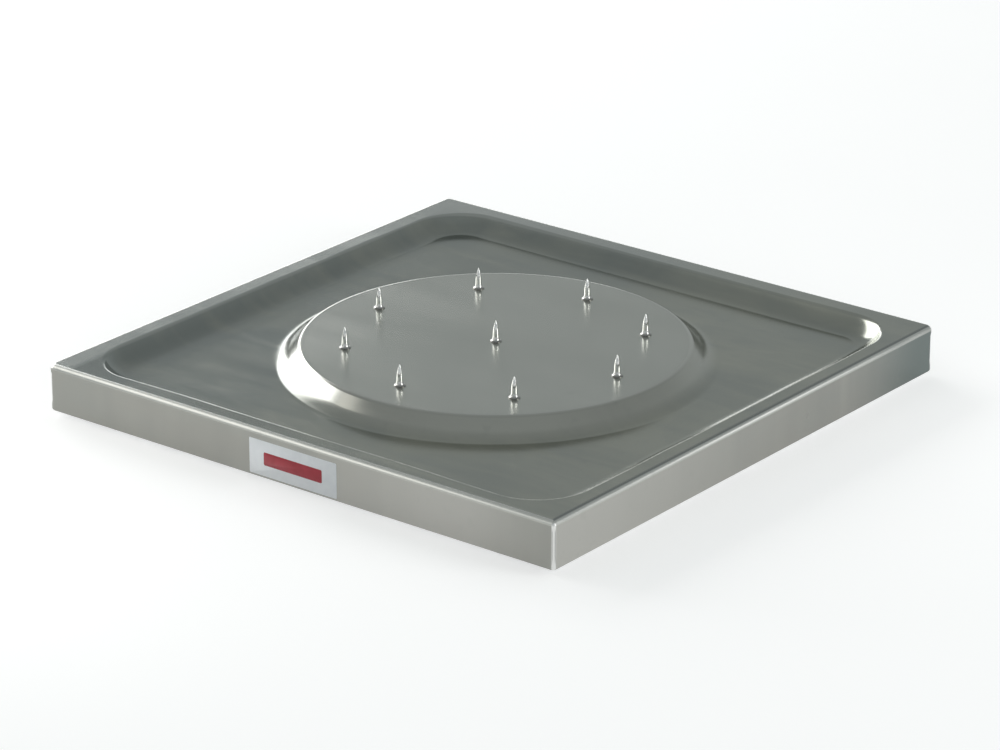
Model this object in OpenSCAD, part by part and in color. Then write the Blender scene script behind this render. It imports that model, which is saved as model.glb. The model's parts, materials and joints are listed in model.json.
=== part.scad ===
// Heated carving station: a square pressed deck with a round raised plateau and nine spikes,
// a ring heater below the plateau, and the controls on the rear skirt.
// Millimetres, +Z up, the label side faces -Y. The origin is on the counter, under the centre.

/* [Deck] */
// Width of the deck, left to right
deck_w = 610; // [580:1:700]
// Depth of the deck, front to back
deck_d = 610; // [580:1:700]
// Height of the folded skirt
skirt_h = 47; // [45:1:60]
// Thickness of the pressed deck sheet
sheet_t = 1.2; // [0.8:0.1:1.6]
// Radius of the fold between rim and skirt, and of the tight front right corner
fold_r = 5; // [2:0.5:5.5]
// Radius of the three rounded upright corners
corner_r = 8; // [6:1:14]
// Width of the flange folded in under the skirt
flange_w = 16; // [14:1:22]

/* [Well] */
// Width of the flat rim
rim_w = 19.5; // [17:0.5:26]
// Depth of the well below the rim
well_depth = 15; // [12:1:17]
// Radius of the bend where the rim turns down into the well
wall_top_r = 6; // [4:0.5:12]
// Radius of the bend where the wall meets the well floor
wall_foot_r = 30; // [24:1:36]
// Radius of the well's corners at the rim
well_corner_r = 58; // [48:1:80]

/* [Plateau] */
// Radius of the flat top of the plateau
plateau_r = 187; // [186:1:195]
// Height of the plateau above the rim
plateau_rise = 3; // [0:0.5:6]
// Steepest slope of the plateau's side, in degrees
plateau_slope = 45; // [42:1:60]
// Radius of the bend at the plateau's top edge
plateau_edge_r = 6; // [4:0.5:8]
// Radius of the bend at the plateau's foot
plateau_foot_r = 24; // [14:1:26]

/* [Spikes] */
// Height of a spike above the plateau
spike_h = 22; // [20:1:40]
// Radius of the ring of spikes
spike_ring_r = 146; // [140:1:150]
// Diameter of a spike's stem
spike_d = 6; // [5:0.1:8]
// Diameter of a spike's flared foot
spike_foot_d = 11.6; // [10:0.1:14]
// Height of the flared foot
spike_foot_h = 6; // [4:0.1:7]
// Length of a spike's straight stem, between its foot and its pointed end
spike_stem_h = 0.5; // [0.5:0.5:6]
// Diameter of the threaded end below the deck
spike_stud_d = 6; // [5:0.5:6]

/* [Heater] */
// Thickness of the aluminium heat spreader
spreader_t = 3; // [2:0.5:5]
// Diameter of the sheathed heating tube
element_d = 6.5; // [5:0.1:8]
// Radius of the inner heating ring
inner_ring_r = 95; // [85:1:100]
// Opening in both rings at the rear, in degrees
ring_gap = 60; // [57:1:66]
// Thickness of the strap of a clamp
strap_t = 1; // [0.8:0.1:1.5]
// Thickness of the mineral wool
insulation_t = 11; // [8:1:14]
// Thickness of the insulation tray
tray_t = 0.8; // [0.6:0.1:1.2]
// Height of the tray's upright rim
tray_rim_h = 8; // [4:1:9]

/* [Controls] */
// Distance of the mains inlet from the deck's right edge
inlet_in = 115; // [100:1:125]
// Distance from the mains inlet to the rocker switch
switch_gap = 60; // [45:1:65]
// Distance from the rocker switch to the thermostat
thermostat_gap = 60; // [50:1:70]
// Height of the controls above the skirt's lower edge
control_h = 20; // [19:1:22]
// Diameter of the thermostat knob
knob_d = 30; // [24:1:34]
// Length of the thermostat knob
knob_l = 15; // [13:1:22]
// Diameter of the dial plate behind the knob
dial_d = 36; // [32:1:38]
// Tilt of the rocker either side of level, in degrees
rocker_tilt = 9; // [6:1:10]

/* [Underside] */
// Thickness of the base cover
cover_t = 1; // [0.8:0.1:2]
// Height of the rubber feet below the base cover
foot_h = 5; // [4:1:12]
// Diameter of the rubber feet
foot_d = 36; // [30:1:50]
// Distance of a foot's centre from the deck's edges
foot_inset = 60; // [50:1:80]
// Height of the stiffening channels
stiffener_h = 18; // [12:1:22]
// Length of the stiffening channels
stiffener_l = 300; // [200:10:380]

/* [Label] */
// Width of the label plate
label_w = 105; // [60:1:160]
// Height of the label plate
label_h = 35; // [20:1:36]
// Thickness of the label plate
label_t = 0.3; // [0.2:0.1:0.6]
// Distance from the rim down to the label
label_drop = 9.5; // [6:0.5:10]
// Distance of the label's centre to the right of the deck's middle
label_x = 3.5; // [-20:0.5:20]

/* [Hidden] */
SPIKES = [for (i = [1:8]) str("spike_", i)];
$fn = 64;

// Colours
STEEL = [0.62, 0.64, 0.61];
POLISHED = [0.80, 0.81, 0.80];
ZINC = [0.70, 0.71, 0.72];
ALUMINIUM = [0.78, 0.79, 0.80];
SHEATH = [0.42, 0.42, 0.40];
CERAMIC = [0.90, 0.88, 0.82];
WOOL = [0.80, 0.76, 0.58];
COPPER = [0.72, 0.45, 0.30];
BLACK = [0.10, 0.10, 0.10];
RUBBER = [0.13, 0.13, 0.13];
RED = [0.62, 0.06, 0.06];
WHITE = [0.93, 0.93, 0.92];
BROWN = [0.35, 0.20, 0.10];
BLUE = [0.15, 0.30, 0.65];
GREEN = [0.35, 0.60, 0.15];

// Clearances
screw_fit = 0.15;
hole_fit = 0.25;
running_fit = 0.05;
tube_fit = 0.4;
knob_fit = 1.5;
panel_fit = 0.2;
lift = 0.5;
plateau_gap = 5;
recess_gap = 1;
shaft_play = 0.2;

// Rounding to a thousandth keeps neighbouring bends meeting on one line
function snap(v) = round(v * 1000) / 1000;
function arc(c, r, a0, a1, n) = [for (i = [0:n]) c + r * dir(a0 + (a1 - a0) * i / n)];
function dir(a) = [cos(a), sin(a)];
function flip(list) = [for (i = [len(list) - 1:-1:0]) list[i]];

// A bend in the sheet that drops by a depth: arc, straight slope, arc
function bend_slope(r1, r2, depth, most) = min(most, acos(max(0, 1 - depth / (r1 + r2))));
function bend_run(r1, r2, depth, a) =
    snap((r1 + r2) * sin(a) + (depth - (r1 + r2) * (1 - cos(a))) / tan(a));

wall_slope = bend_slope(wall_top_r, wall_foot_r, well_depth, 90);
wall_run = bend_run(wall_top_r, wall_foot_r, well_depth, wall_slope);
plateau_depth = well_depth + plateau_rise;
side_slope = bend_slope(plateau_edge_r, plateau_foot_r, plateau_depth, plateau_slope);
side_run = bend_run(plateau_edge_r, plateau_foot_r, plateau_depth, side_slope);
foot_circle_r = plateau_r + side_run;

// Levels
skirt_z = foot_h + cover_t;
rim_z = skirt_z + skirt_h;
floor_z = rim_z - well_depth;
plateau_z = rim_z + plateau_rise;
plateau_under = plateau_z - sheet_t;
spreader_z = plateau_under - spreader_t;
control_z = skirt_z + control_h;

// Half sizes of the well at the rim
well_x = deck_w / 2 - rim_w;
well_y = deck_d / 2 - rim_w;

// Corners as side signs and radius: front left, front right, rear right, rear left
CORNERS = [[-1, -1, corner_r], [1, -1, fold_r], [1, 1, corner_r], [-1, 1, corner_r]];
WELL_CORNERS = [for (c = CORNERS) [c[0], c[1], well_corner_r]];

// Rounding of the label's corners
label_corner_r = 1.5;

// Edge of a spike's foot, and its blunted tip
spike_foot_edge = 0.6;
spike_tip_r = 0.25;

// Fasteners below the plateau
washer_t = 1.2;
washer_d = 12.5;
nut_af = 10;
nut_h = 5;
stud_spare = 1;
stud_l = sheet_t + spreader_t + washer_t + nut_h + stud_spare;
heater_gap = max(element_d + strap_t, washer_t + nut_h + stud_spare) + lift;
wool_top = spreader_z - heater_gap;
tray_top = wool_top - insulation_t;

// Radii inside the plateau, and of the outer heating ring
spreader_r = plateau_r - plateau_gap;
outer_ring_r = snap((spike_ring_r + washer_d / 2 + spreader_r) / 2);
tray_r = spreader_r + 1;
wool_r = tray_r - tray_t - lift;

// Heating rings: both leave the same opening at the rear
ring_start = 90 + ring_gap / 2;
ring_sweep = 360 - ring_gap;
element_z = spreader_z - element_d / 2;
terminal_w = 14;
terminal_l = 12;
terminal_h = element_d + 0.5;

// Clamps over the rings and the sensor
CLAMP_ANGLES = [22.5, 157.5, 247.5, 292.5];
clamp_w = 10;
clip_w = 6;
clamp_ear = 8;
clamp_screw_d = 3;
clamp_head_d = 5.6;
clamp_head_h = 2;

// Standoffs of the tray, between the rings
STANDOFF_ANGLES = [22.5, 157.5, 202.5, 337.5];
standoff_r = snap((inner_ring_r + outer_ring_r) / 2);
standoff_af = 7;
standoff_stud_d = 4;
tray_screw_d = 3;
tray_head_d = 6;
tray_head_h = 2.2;
tray_screw_in = 6;

// Sensor and over-temperature cut-out, in the rings' opening
bulb_d = 5;
bulb_l = 56;
bulb_x = -20;
bulb_start = 75;
CLIP_PLACES = [bulb_start + 13, bulb_start + 43];
capillary_d = 2;
cutout_x = 8;
cutout_y = 96;
cutout_d = 16;
cutout_h = 6.5;
cutout_ear = 12;
cutout_ear_w = 8;
cutout_ear_t = 1;
tab_w = 4.8;
tab_t = 0.8;
tab_l = 8;

// Rear skirt and what goes through it
rear_y = deck_d / 2;
inlet_x = deck_w / 2 - inlet_in;
switch_x = inlet_x - switch_gap;
thermostat_x = switch_x - thermostat_gap;
inlet_flange = [50, 24];
inlet_flange_t = 3;
inlet_corner_r = 3;
inlet_box = [27, 19.6];
inlet_depth = 19;
inlet_socket_depth = 16;
inlet_screw_x = 20;
inlet_screw_d = 3;
inlet_head_d = 5.6;
inlet_head_h = 1.8;
inlet_nut_af = 5.5;
inlet_nut_h = 2.4;
socket_half = [12.2, 8.3];
socket_cut = 4;
pin_x = 7;
pin_y = 2.2;
PIN_PLACES = [[-pin_x, -pin_y], [pin_x, -pin_y], [0, pin_y]];
pin_size = [2, 4];
pin_recess = 2;
switch_bezel = [15, 21];
switch_bezel_t = 2;
switch_box = [12.8, 19];
switch_depth = 14;
switch_mouth = [10, 17];
switch_mouth_depth = 6.4;
bezel_corner_r = 1.5;
rocker_w = 9.4;
rocker_h = 14.4;
rocker_rise = 4.5;
rocker_dip = 1.1;
rocker_side = 0.5;
rocker_keel = [3, 3.4];
pivot_z = -0.5;
pivot_d = 3;
bush_d = 10;
bush_l = 5.4;
bush_nut_af = 14;
bush_nut_h = 2.5;
dial_t = 0.8;
thermostat_box = [36, 33];
thermostat_depth = 26;
thermostat_corner_r = 3;
shaft_d = 6;
shaft_in = 15;
shaft_out = 13;
knob_gap = 1;
knob_base_h = 3;
knob_step = 2;
flutes = 12;
flute_d = 4;
flute_in = 1.2;
pointer_w = 1.2;
pointer_depth = 0.6;
pointer_start = 4;
terminal_x = 10;
terminal_y = 5;
capillary_y = -8;

// Base
cover_inset = 3;
flange_screw_d = 4;
flange_screw_in = 9;
flange_head_d = 7.4;
flange_head_h = 2;
screw_spare = 4;
foot_screw_d = 5;
foot_head_d = 9.5;
foot_head_h = 2.2;
foot_nut_af = 8;
foot_nut_h = 4;
foot_taper = 2;
foot_x = deck_w / 2 - foot_inset;
foot_y = deck_d / 2 - foot_inset;
vent_d = 6;
vent_pitch = 16;
vents_each_side = 4;
earth_d = 4;
earth_l = 12;
earth_base_d = 10;
earth_base_t = 1;
earth_nut_af = 7;
earth_nut_h = 3.2;
earth_pos = [inlet_x + 42, rear_y - 44];

// Channels under the well floor, centred on the flat strip beside the plateau
strip_end = well_x - wall_run;
channel_x = snap((foot_circle_r + strip_end) / 2);
channel_web = 18;
channel_lip = (strip_end - foot_circle_r - channel_web) / 2 - 2;

// Wiring
wire_d = 2.4;
wire_end = 2;
gate_r = tray_r + 9;
gate_z = floor_z + 2;
function gate(a) = [gate_r * cos(a), gate_r * sin(a), gate_z];
function rear_point(x, lx, ly, lz) = [x - lx, rear_y + lz, control_z + ly];
function polar(r, a, side) = [r * cos(a) - side * sin(a), r * sin(a) + side * cos(a), element_z];

// Plan shapes
module rounded_plan(size, corners) {
    difference() {
        square(size, center = true);
        for (c = corners) if (c[2] > 0) corner_cut(size, c);
    }
}

module corner_cut(size, c) {
    r = c[2];
    translate([c[0] * (size[0] / 2 - r), c[1] * (size[1] / 2 - r)]) difference() {
        translate([c[0] * r, c[1] * r]) square(2 * r, center = true);
        circle(r);
    }
}

module rounded_rect(size, r) {
    rounded_plan(size, [for (c = CORNERS) [c[0], c[1], r]]);
}

module deck_plan(inset) {
    rounded_plan([deck_w - 2 * inset, deck_d - 2 * inset], [for (c = CORNERS) [c[0], c[1], c[2] - inset]]);
}

module well_plan() {
    rounded_plan([2 * well_x, 2 * well_y], WELL_CORNERS);
}

module floor_plan() {
    r = well_corner_r - wall_run;
    rounded_plan([2 * strip_end, 2 * (well_y - wall_run)], [for (c = CORNERS) [c[0], c[1], r]]);
}

// Sheet profiles: x runs inward, y is up, the top surface starts at the origin
module bend_profile(r1, r2, depth, slope, run) {
    steps = 7;
    c1 = [0, -r1];
    c2 = [run, r2 - depth];
    top = concat(arc(c1, r1, 90, 90 - slope, steps), arc(c2, r2, 270 - slope, 270, steps));
    under = concat(
        arc(c1, r1 - sheet_t, 90, 90 - slope, steps),
        arc(c2, r2 + sheet_t, 270 - slope, 270, steps)
    );
    polygon(concat(top, flip(under)));
}

module wall_profile() {
    bend_profile(wall_top_r, wall_foot_r, well_depth, wall_slope, wall_run);
}

module side_profile() {
    bend_profile(plateau_edge_r, plateau_foot_r, plateau_depth, side_slope, side_run);
}

module fold_profile() {
    steps = 6;
    c = [fold_r, -fold_r];
    polygon(concat(arc(c, fold_r, 180, 90, steps), arc(c, fold_r - sheet_t, 90, 180, steps)));
}

// Runs a profile along the straight sides of a frame, between its corners
module along_sides(half, corners) {
    for (k = [0:3]) {
        across = k % 2;
        a = corners[k][2];
        b = corners[(k + 1) % 4][2];
        rotate(90 * k) translate([a - half[across], -half[1 - across], 0])
            rotate([90, 0, 90]) linear_extrude(2 * half[across] - a - b) children();
    }
}

// Turns a profile round each corner of a frame
module round_corners(half, corners) {
    for (k = [0:3]) {
        c = corners[k];
        translate([c[0] * (half[0] - c[2]), c[1] * (half[1] - c[2]), 0])
            rotate(180 + 90 * k) rotate_extrude(angle = 90) translate([c[2], 0]) mirror([1, 0]) children();
    }
}

// Places on the rear skirt: x to the right as seen from behind, y up, z outward
module on_rear(x) {
    translate([x, rear_y, control_z]) rotate([90, 0, 180]) children();
}

module around(n, r) {
    for (i = [0:n - 1]) rotate(360 * i / n) translate([r, 0, 0]) children();
}

module at_spikes() {
    children();
    around(8, spike_ring_r) children();
}

module at_feet() {
    for (sx = [-1, 1], sy = [-1, 1]) translate([sx * foot_x, sy * foot_y, 0]) children();
}

module at_flange_screws() {
    for (sx = [-1, 1], sy = [-1, 1]) {
        translate([sx * (deck_w / 2 - flange_screw_in), sy * deck_d / 4, 0]) children();
        translate([sx * deck_w / 4, sy * (deck_d / 2 - flange_screw_in), 0]) children();
    }
}

module at_angles(angles, r) {
    for (a = angles) rotate(a) translate([r, 0, 0]) children();
}

module hex_nut(af, h, bore) {
    difference() {
        cylinder(h = h, d = af / cos(30), $fn = 6);
        translate([0, 0, -1]) cylinder(h = h + 2, d = bore);
    }
}

// Head below, shank upward, with the head's bearing face at z = 0
module screw_up(d, l, head_d, head_h) {
    translate([0, 0, -head_h]) cylinder(h = head_h, d = head_d);
    translate([0, 0, -head_h / 2]) cylinder(h = l + head_h / 2, d = d);
}

// Deck
module deck_sheet() {
    half = [deck_w / 2, deck_d / 2];
    well = [well_x, well_y];
    translate([0, 0, skirt_z]) linear_extrude(sheet_t) difference() {
        deck_plan(0);
        square([deck_w - 2 * flange_w, deck_d - 2 * flange_w], center = true);
    }
    translate([0, 0, skirt_z + sheet_t]) linear_extrude(skirt_h - sheet_t - fold_r) difference() {
        deck_plan(0);
        deck_plan(sheet_t);
    }
    translate([0, 0, rim_z]) {
        along_sides(half, CORNERS) fold_profile();
        round_corners(half, CORNERS) fold_profile();
        along_sides(well, WELL_CORNERS) wall_profile();
        round_corners(well, WELL_CORNERS) wall_profile();
    }
    translate([0, 0, rim_z - sheet_t]) linear_extrude(sheet_t) difference() {
        deck_plan(fold_r);
        well_plan();
    }
    translate([0, 0, floor_z - sheet_t]) linear_extrude(sheet_t) difference() {
        floor_plan();
        circle(foot_circle_r);
    }
    translate([0, 0, plateau_z]) rotate_extrude() translate([plateau_r, 0]) side_profile();
    translate([0, 0, plateau_under]) cylinder(h = sheet_t, r = plateau_r);
}

module top_deck() {
    color(STEEL) difference() {
        deck_sheet();
        translate([0, 0, plateau_under - 1]) at_spikes()
            cylinder(h = sheet_t + 2, d = spike_stud_d + hole_fit);
        translate([0, 0, skirt_z - 1]) at_flange_screws()
            cylinder(h = sheet_t + 2, d = flange_screw_d + screw_fit);
        on_rear(inlet_x) rear_cut(inlet_box);
        on_rear(inlet_x) for (s = [-1, 1]) translate([s * inlet_screw_x, 0, -2 * sheet_t])
            cylinder(h = 3 * sheet_t, d = inlet_screw_d + hole_fit);
        on_rear(switch_x) rear_cut(switch_box);
        on_rear(thermostat_x) translate([0, 0, -2 * sheet_t])
            cylinder(h = 3 * sheet_t, d = bush_d + hole_fit);
    }
}

module rear_cut(box) {
    translate([0, 0, -2 * sheet_t]) linear_extrude(3 * sheet_t)
        square([box[0] + 2 * panel_fit, box[1] + 2 * panel_fit], center = true);
}

module front_label() {
    color(WHITE) translate([label_x, -deck_d / 2, rim_z - label_drop - label_h / 2])
        rotate([90, 0, 0]) linear_extrude(label_t) rounded_rect([label_w, label_h], label_corner_r);
}

// Spikes
module spike() {
    r = spike_d / 2;
    base_r = spike_foot_d / 2;
    point_z = spike_foot_h + spike_stem_h;
    point_h = spike_h - point_z;
    steps = 7;
    ogive_r = (r * r + point_h * point_h) / (2 * r);
    flare_h = spike_foot_h - spike_foot_edge;
    flare = [for (i = [0:steps]) let (a = 90 * i / steps)
        [base_r - (base_r - r) * sin(a), spike_foot_edge + flare_h * (1 - cos(a))]];
    point = [for (i = [1:steps]) let (h = point_h * i / steps)
        [max(spike_tip_r, sqrt(ogive_r * ogive_r - h * h) - ogive_r + r), point_z + h]];
    color(POLISHED) translate([0, 0, plateau_z]) {
        rotate_extrude()
            polygon(concat([[0, 0], [base_r, 0]], flare, [[r, point_z]], point, [[0, spike_h]]));
        translate([0, 0, -stud_l]) cylinder(h = stud_l, d = spike_stud_d);
    }
}

module ring_spike(i) {
    rotate(45 * (i - 1)) translate([spike_ring_r, 0, 0]) spike();
}

module spike_washers() {
    color(ZINC) translate([0, 0, spreader_z - washer_t]) at_spikes() difference() {
        cylinder(h = washer_t, d = washer_d);
        translate([0, 0, -1]) cylinder(h = washer_t + 2, d = spike_stud_d + hole_fit);
    }
}

module spike_nuts() {
    color(ZINC) translate([0, 0, spreader_z - washer_t - nut_h]) at_spikes()
        hex_nut(nut_af, nut_h, spike_stud_d + screw_fit);
}

// Heater
module heat_spreader() {
    color(ALUMINIUM) translate([0, 0, spreader_z]) difference() {
        cylinder(h = spreader_t, r = spreader_r);
        translate([0, 0, -1]) {
            at_spikes() cylinder(h = spreader_t + 2, d = spike_stud_d + hole_fit);
            at_clamp_screws() cylinder(h = spreader_t + 2, d = clamp_screw_d + screw_fit);
            at_angles(STANDOFF_ANGLES, standoff_r)
                cylinder(h = spreader_t + 2, d = standoff_stud_d + screw_fit);
        }
    }
}

module ring_element(r) {
    color(SHEATH) translate([0, 0, element_z]) rotate(ring_start)
        rotate_extrude(angle = ring_sweep) translate([r, 0]) circle(d = element_d);
}

// A strap over a tube that runs along y under the spreader, with an ear on each side
module strap(tube_d, w) {
    half = tube_d / 2 + tube_fit;
    outer = half + strap_t;
    rotate([90, 0, 0]) translate([0, 0, -w / 2]) linear_extrude(w) difference() {
        union() {
            translate([-outer - clamp_ear, -strap_t]) square([2 * (outer + clamp_ear), strap_t]);
            translate([-outer, -tube_d - strap_t]) square([2 * outer, tube_d + strap_t]);
        }
        translate([-half, -tube_d]) square([2 * half, tube_d + 1]);
    }
}

module at_ears(tube_d) {
    x = tube_d / 2 + tube_fit + strap_t + clamp_ear / 2;
    for (s = [-1, 1]) translate([s * x, 0, 0]) children();
}

module at_clips() {
    for (y = CLIP_PLACES) translate([bulb_x, y, 0]) children();
}

module at_cutout_ears() {
    for (s = [-1, 1]) translate([cutout_x + s * cutout_ear, cutout_y, 0]) children();
}

module at_clamp_screws() {
    for (r = [inner_ring_r, outer_ring_r]) at_angles(CLAMP_ANGLES, r) at_ears(element_d) children();
    at_clips() at_ears(bulb_d) children();
    at_cutout_ears() children();
}

module drilled_strap(tube_d, w) {
    difference() {
        strap(tube_d, w);
        at_ears(tube_d) translate([0, 0, -2 * strap_t])
            cylinder(h = 3 * strap_t, d = clamp_screw_d + hole_fit);
    }
}

module element_clamps() {
    color(ZINC) translate([0, 0, spreader_z]) for (r = [inner_ring_r, outer_ring_r])
        at_angles(CLAMP_ANGLES, r) drilled_strap(element_d, clamp_w);
}

module bulb_clips() {
    color(ZINC) translate([0, 0, spreader_z]) at_clips() drilled_strap(bulb_d, clip_w);
}

module clamp_screws() {
    color(ZINC) translate([0, 0, spreader_z - strap_t]) at_clamp_screws()
        screw_up(clamp_screw_d, strap_t + spreader_t - lift, clamp_head_d, clamp_head_h);
}

module element_terminals() {
    color(CERAMIC) for (r = [inner_ring_r, outer_ring_r]) {
        rotate(ring_start) translate([r - terminal_w / 2, -terminal_l, spreader_z - terminal_h])
            cube([terminal_w, terminal_l, terminal_h]);
        rotate(180 - ring_start) translate([r - terminal_w / 2, 0, spreader_z - terminal_h])
            cube([terminal_w, terminal_l, terminal_h]);
    }
}

module element_jumpers() {
    l = outer_ring_r - inner_ring_r - terminal_w;
    color(COPPER) for (s = [-1, 1]) rotate(90 - s * ring_gap / 2)
        translate([inner_ring_r + terminal_w / 2, s * terminal_l / 2, element_z])
            rotate([0, 90, 0]) cylinder(h = l, d = wire_d);
}

module insulation() {
    color(WOOL) translate([0, 0, tray_top]) difference() {
        cylinder(h = insulation_t, r = wool_r);
        translate([0, 0, -1]) at_angles(STANDOFF_ANGLES, standoff_r)
            cylinder(h = insulation_t + 2, d = standoff_af / cos(30) + 2 * lift);
    }
}

module insulation_tray() {
    color(ZINC) translate([0, 0, tray_top - tray_t]) difference() {
        cylinder(h = tray_t + tray_rim_h, r = tray_r);
        translate([0, 0, tray_t]) cylinder(h = tray_rim_h + 1, r = tray_r - tray_t);
        translate([0, 0, -1]) at_angles(STANDOFF_ANGLES, standoff_r)
            cylinder(h = tray_t + 2, d = tray_screw_d + hole_fit);
    }
}

module tray_standoffs() {
    l = spreader_z - tray_top;
    color(ZINC) translate([0, 0, tray_top]) at_angles(STANDOFF_ANGLES, standoff_r) difference() {
        union() {
            cylinder(h = l, d = standoff_af / cos(30), $fn = 6);
            cylinder(h = l + spreader_t - lift, d = standoff_stud_d);
        }
        translate([0, 0, -1]) cylinder(h = 2 + tray_screw_in, d = tray_screw_d + screw_fit);
    }
}

module tray_screws() {
    color(ZINC) translate([0, 0, tray_top - tray_t]) at_angles(STANDOFF_ANGLES, standoff_r)
        screw_up(tray_screw_d, tray_t + tray_screw_in, tray_head_d, tray_head_h);
}

module thermal_cutout() {
    l = cutout_ear + cutout_ear_w / 2;
    color(BLACK) translate([cutout_x, cutout_y, spreader_z]) difference() {
        union() {
            translate([0, 0, -cutout_h]) cylinder(h = cutout_h, d = cutout_d);
            translate([-l, -cutout_ear_w / 2, -cutout_ear_t]) cube([2 * l, cutout_ear_w, cutout_ear_t]);
            for (s = [-1, 1]) translate([0, s * (cutout_d / 2 + tab_l / 2 - 1), -cutout_h / 2])
                cube([tab_w, tab_l, tab_t], center = true);
        }
        for (s = [-1, 1]) translate([s * cutout_ear, 0, -2 * cutout_ear_t])
            cylinder(h = 3 * cutout_ear_t, d = clamp_screw_d + hole_fit);
    }
}

module sensing_bulb() {
    color(POLISHED) translate([bulb_x, bulb_start, spreader_z - bulb_d / 2])
        rotate([-90, 0, 0]) cylinder(h = bulb_l, d = bulb_d);
}

// Controls
module thermostat_body() {
    color(BLACK) on_rear(thermostat_x) difference() {
        union() {
            translate([0, 0, -sheet_t - thermostat_depth]) linear_extrude(thermostat_depth)
                rounded_rect(thermostat_box, thermostat_corner_r);
            translate([0, 0, -sheet_t - 1]) cylinder(h = sheet_t + 1 + bush_l, d = bush_d);
        }
        translate([0, 0, -shaft_in - 1])
            cylinder(h = shaft_in + bush_l + 2, d = shaft_d + 2 * running_fit);
    }
}

module thermostat_shaft() {
    color(ZINC) on_rear(thermostat_x) difference() {
        translate([0, 0, -shaft_in]) cylinder(h = shaft_in + shaft_out, d = shaft_d);
        translate([-shaft_d, shaft_d / 4, bush_l + 1]) cube([2 * shaft_d, shaft_d, shaft_out]);
    }
}

module thermostat_knob() {
    base = dial_t + knob_gap;
    grip_d = knob_d - 2 * knob_step;
    hollow_d = bush_nut_af / cos(30) + 2 * knob_fit;
    color(BLACK) on_rear(thermostat_x) difference() {
        union() {
            translate([0, 0, base]) cylinder(h = knob_base_h, d = knob_d);
            translate([0, 0, base]) cylinder(h = knob_l, d = grip_d);
        }
        translate([0, 0, base + knob_base_h]) rotate(180 / flutes)
            around(flutes, knob_d / 2 - flute_in) cylinder(h = knob_l, d = flute_d);
        translate([0, 0, base - 1]) cylinder(h = bush_l + 2, d = hollow_d);
        difference() {
            translate([0, 0, base])
                cylinder(h = shaft_out + shaft_play - base, d = shaft_d + 2 * running_fit);
            translate([-shaft_d, shaft_d / 4 + running_fit, base])
                cube([2 * shaft_d, shaft_d, shaft_out]);
        }
        translate([-pointer_w / 2, pointer_start, base + knob_l - pointer_depth])
            cube([pointer_w, knob_d, 2 * pointer_depth]);
    }
}

module thermostat_nut() {
    color(ZINC) on_rear(thermostat_x) translate([0, 0, dial_t])
        hex_nut(bush_nut_af, bush_nut_h, bush_d + screw_fit);
}

module dial_plate() {
    color(ALUMINIUM) on_rear(thermostat_x) difference() {
        cylinder(h = dial_t, d = dial_d);
        translate([0, 0, -1]) cylinder(h = dial_t + 2, d = bush_d + hole_fit);
    }
}

module thermostat_terminals() {
    color(COPPER) on_rear(thermostat_x) for (s = [-1, 1])
        translate([s * terminal_x - tab_w / 2, terminal_y, -sheet_t - thermostat_depth - tab_l])
            cube([tab_w, tab_t, tab_l]);
}

module switch_housing() {
    color(BLACK) on_rear(switch_x) difference() {
        union() {
            linear_extrude(switch_bezel_t) rounded_rect(switch_bezel, bezel_corner_r);
            translate([0, 0, -switch_depth]) linear_extrude(switch_depth + 1)
                square(switch_box, center = true);
        }
        translate([0, 0, -switch_mouth_depth]) linear_extrude(switch_mouth_depth + switch_bezel_t + 1)
            square(switch_mouth, center = true);
        translate([0, 0, pivot_z]) rotate([0, 90, 0])
            cylinder(h = switch_bezel[0] + 2, d = pivot_d + 2 * running_fit, center = true);
    }
}

// The rocker rests with its lower half pressed in
module switch_rocker() {
    h = rocker_h / 2;
    face = [[h, rocker_rise], [0, rocker_rise - rocker_dip], [-h, rocker_rise]];
    keel = [[-h, -rocker_side], -rocker_keel, [rocker_keel[0], -rocker_keel[1]], [h, -rocker_side]];
    color(RED) on_rear(switch_x) translate([0, 0, pivot_z]) rotate([rocker_tilt, 0, 0]) {
        rotate([0, 90, 0]) rotate(90) linear_extrude(rocker_w, center = true)
            polygon(concat(face, keel));
        rotate([0, 90, 0]) cylinder(h = switch_box[0] - 2 * panel_fit, d = pivot_d, center = true);
    }
}

module switch_terminals() {
    color(COPPER) on_rear(switch_x) for (s = [-1, 1])
        translate([-tab_w / 2, s * terminal_y - tab_t / 2, -switch_depth - tab_l])
            cube([tab_w, tab_t, tab_l]);
}

module socket_plan() {
    x = socket_half[0];
    y = socket_half[1];
    c = socket_cut;
    polygon([[-x, -y], [x, -y], [x, y - c], [x - c, y], [c - x, y], [-x, y - c]]);
}

module inlet_body() {
    color(BLACK) on_rear(inlet_x) difference() {
        union() {
            linear_extrude(inlet_flange_t) rounded_rect(inlet_flange, inlet_corner_r);
            translate([0, 0, -inlet_depth]) linear_extrude(inlet_depth + 1)
                square(inlet_box, center = true);
        }
        translate([0, 0, inlet_flange_t - inlet_socket_depth])
            linear_extrude(inlet_socket_depth + 1) socket_plan();
        for (p = PIN_PLACES) translate([p[0], p[1], -inlet_depth - 1]) linear_extrude(inlet_depth)
            square(pin_size + [2, 2] * running_fit, center = true);
        for (s = [-1, 1]) translate([s * inlet_screw_x, 0, -1])
            cylinder(h = inlet_flange_t + 2, d = inlet_screw_d + hole_fit);
    }
}

module inlet_pins() {
    l = inlet_depth + tab_l + inlet_flange_t - pin_recess;
    color(ZINC) on_rear(inlet_x) for (p = PIN_PLACES)
        translate([p[0], p[1], -inlet_depth - tab_l]) linear_extrude(l) square(pin_size, center = true);
}

module at_inlet_screws() {
    on_rear(inlet_x) for (s = [-1, 1]) translate([s * inlet_screw_x, 0, 0]) children();
}

module inlet_screws() {
    l = inlet_flange_t + sheet_t + screw_spare;
    color(ZINC) at_inlet_screws() translate([0, 0, inlet_flange_t]) mirror([0, 0, 1])
        screw_up(inlet_screw_d, l, inlet_head_d, inlet_head_h);
}

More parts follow.
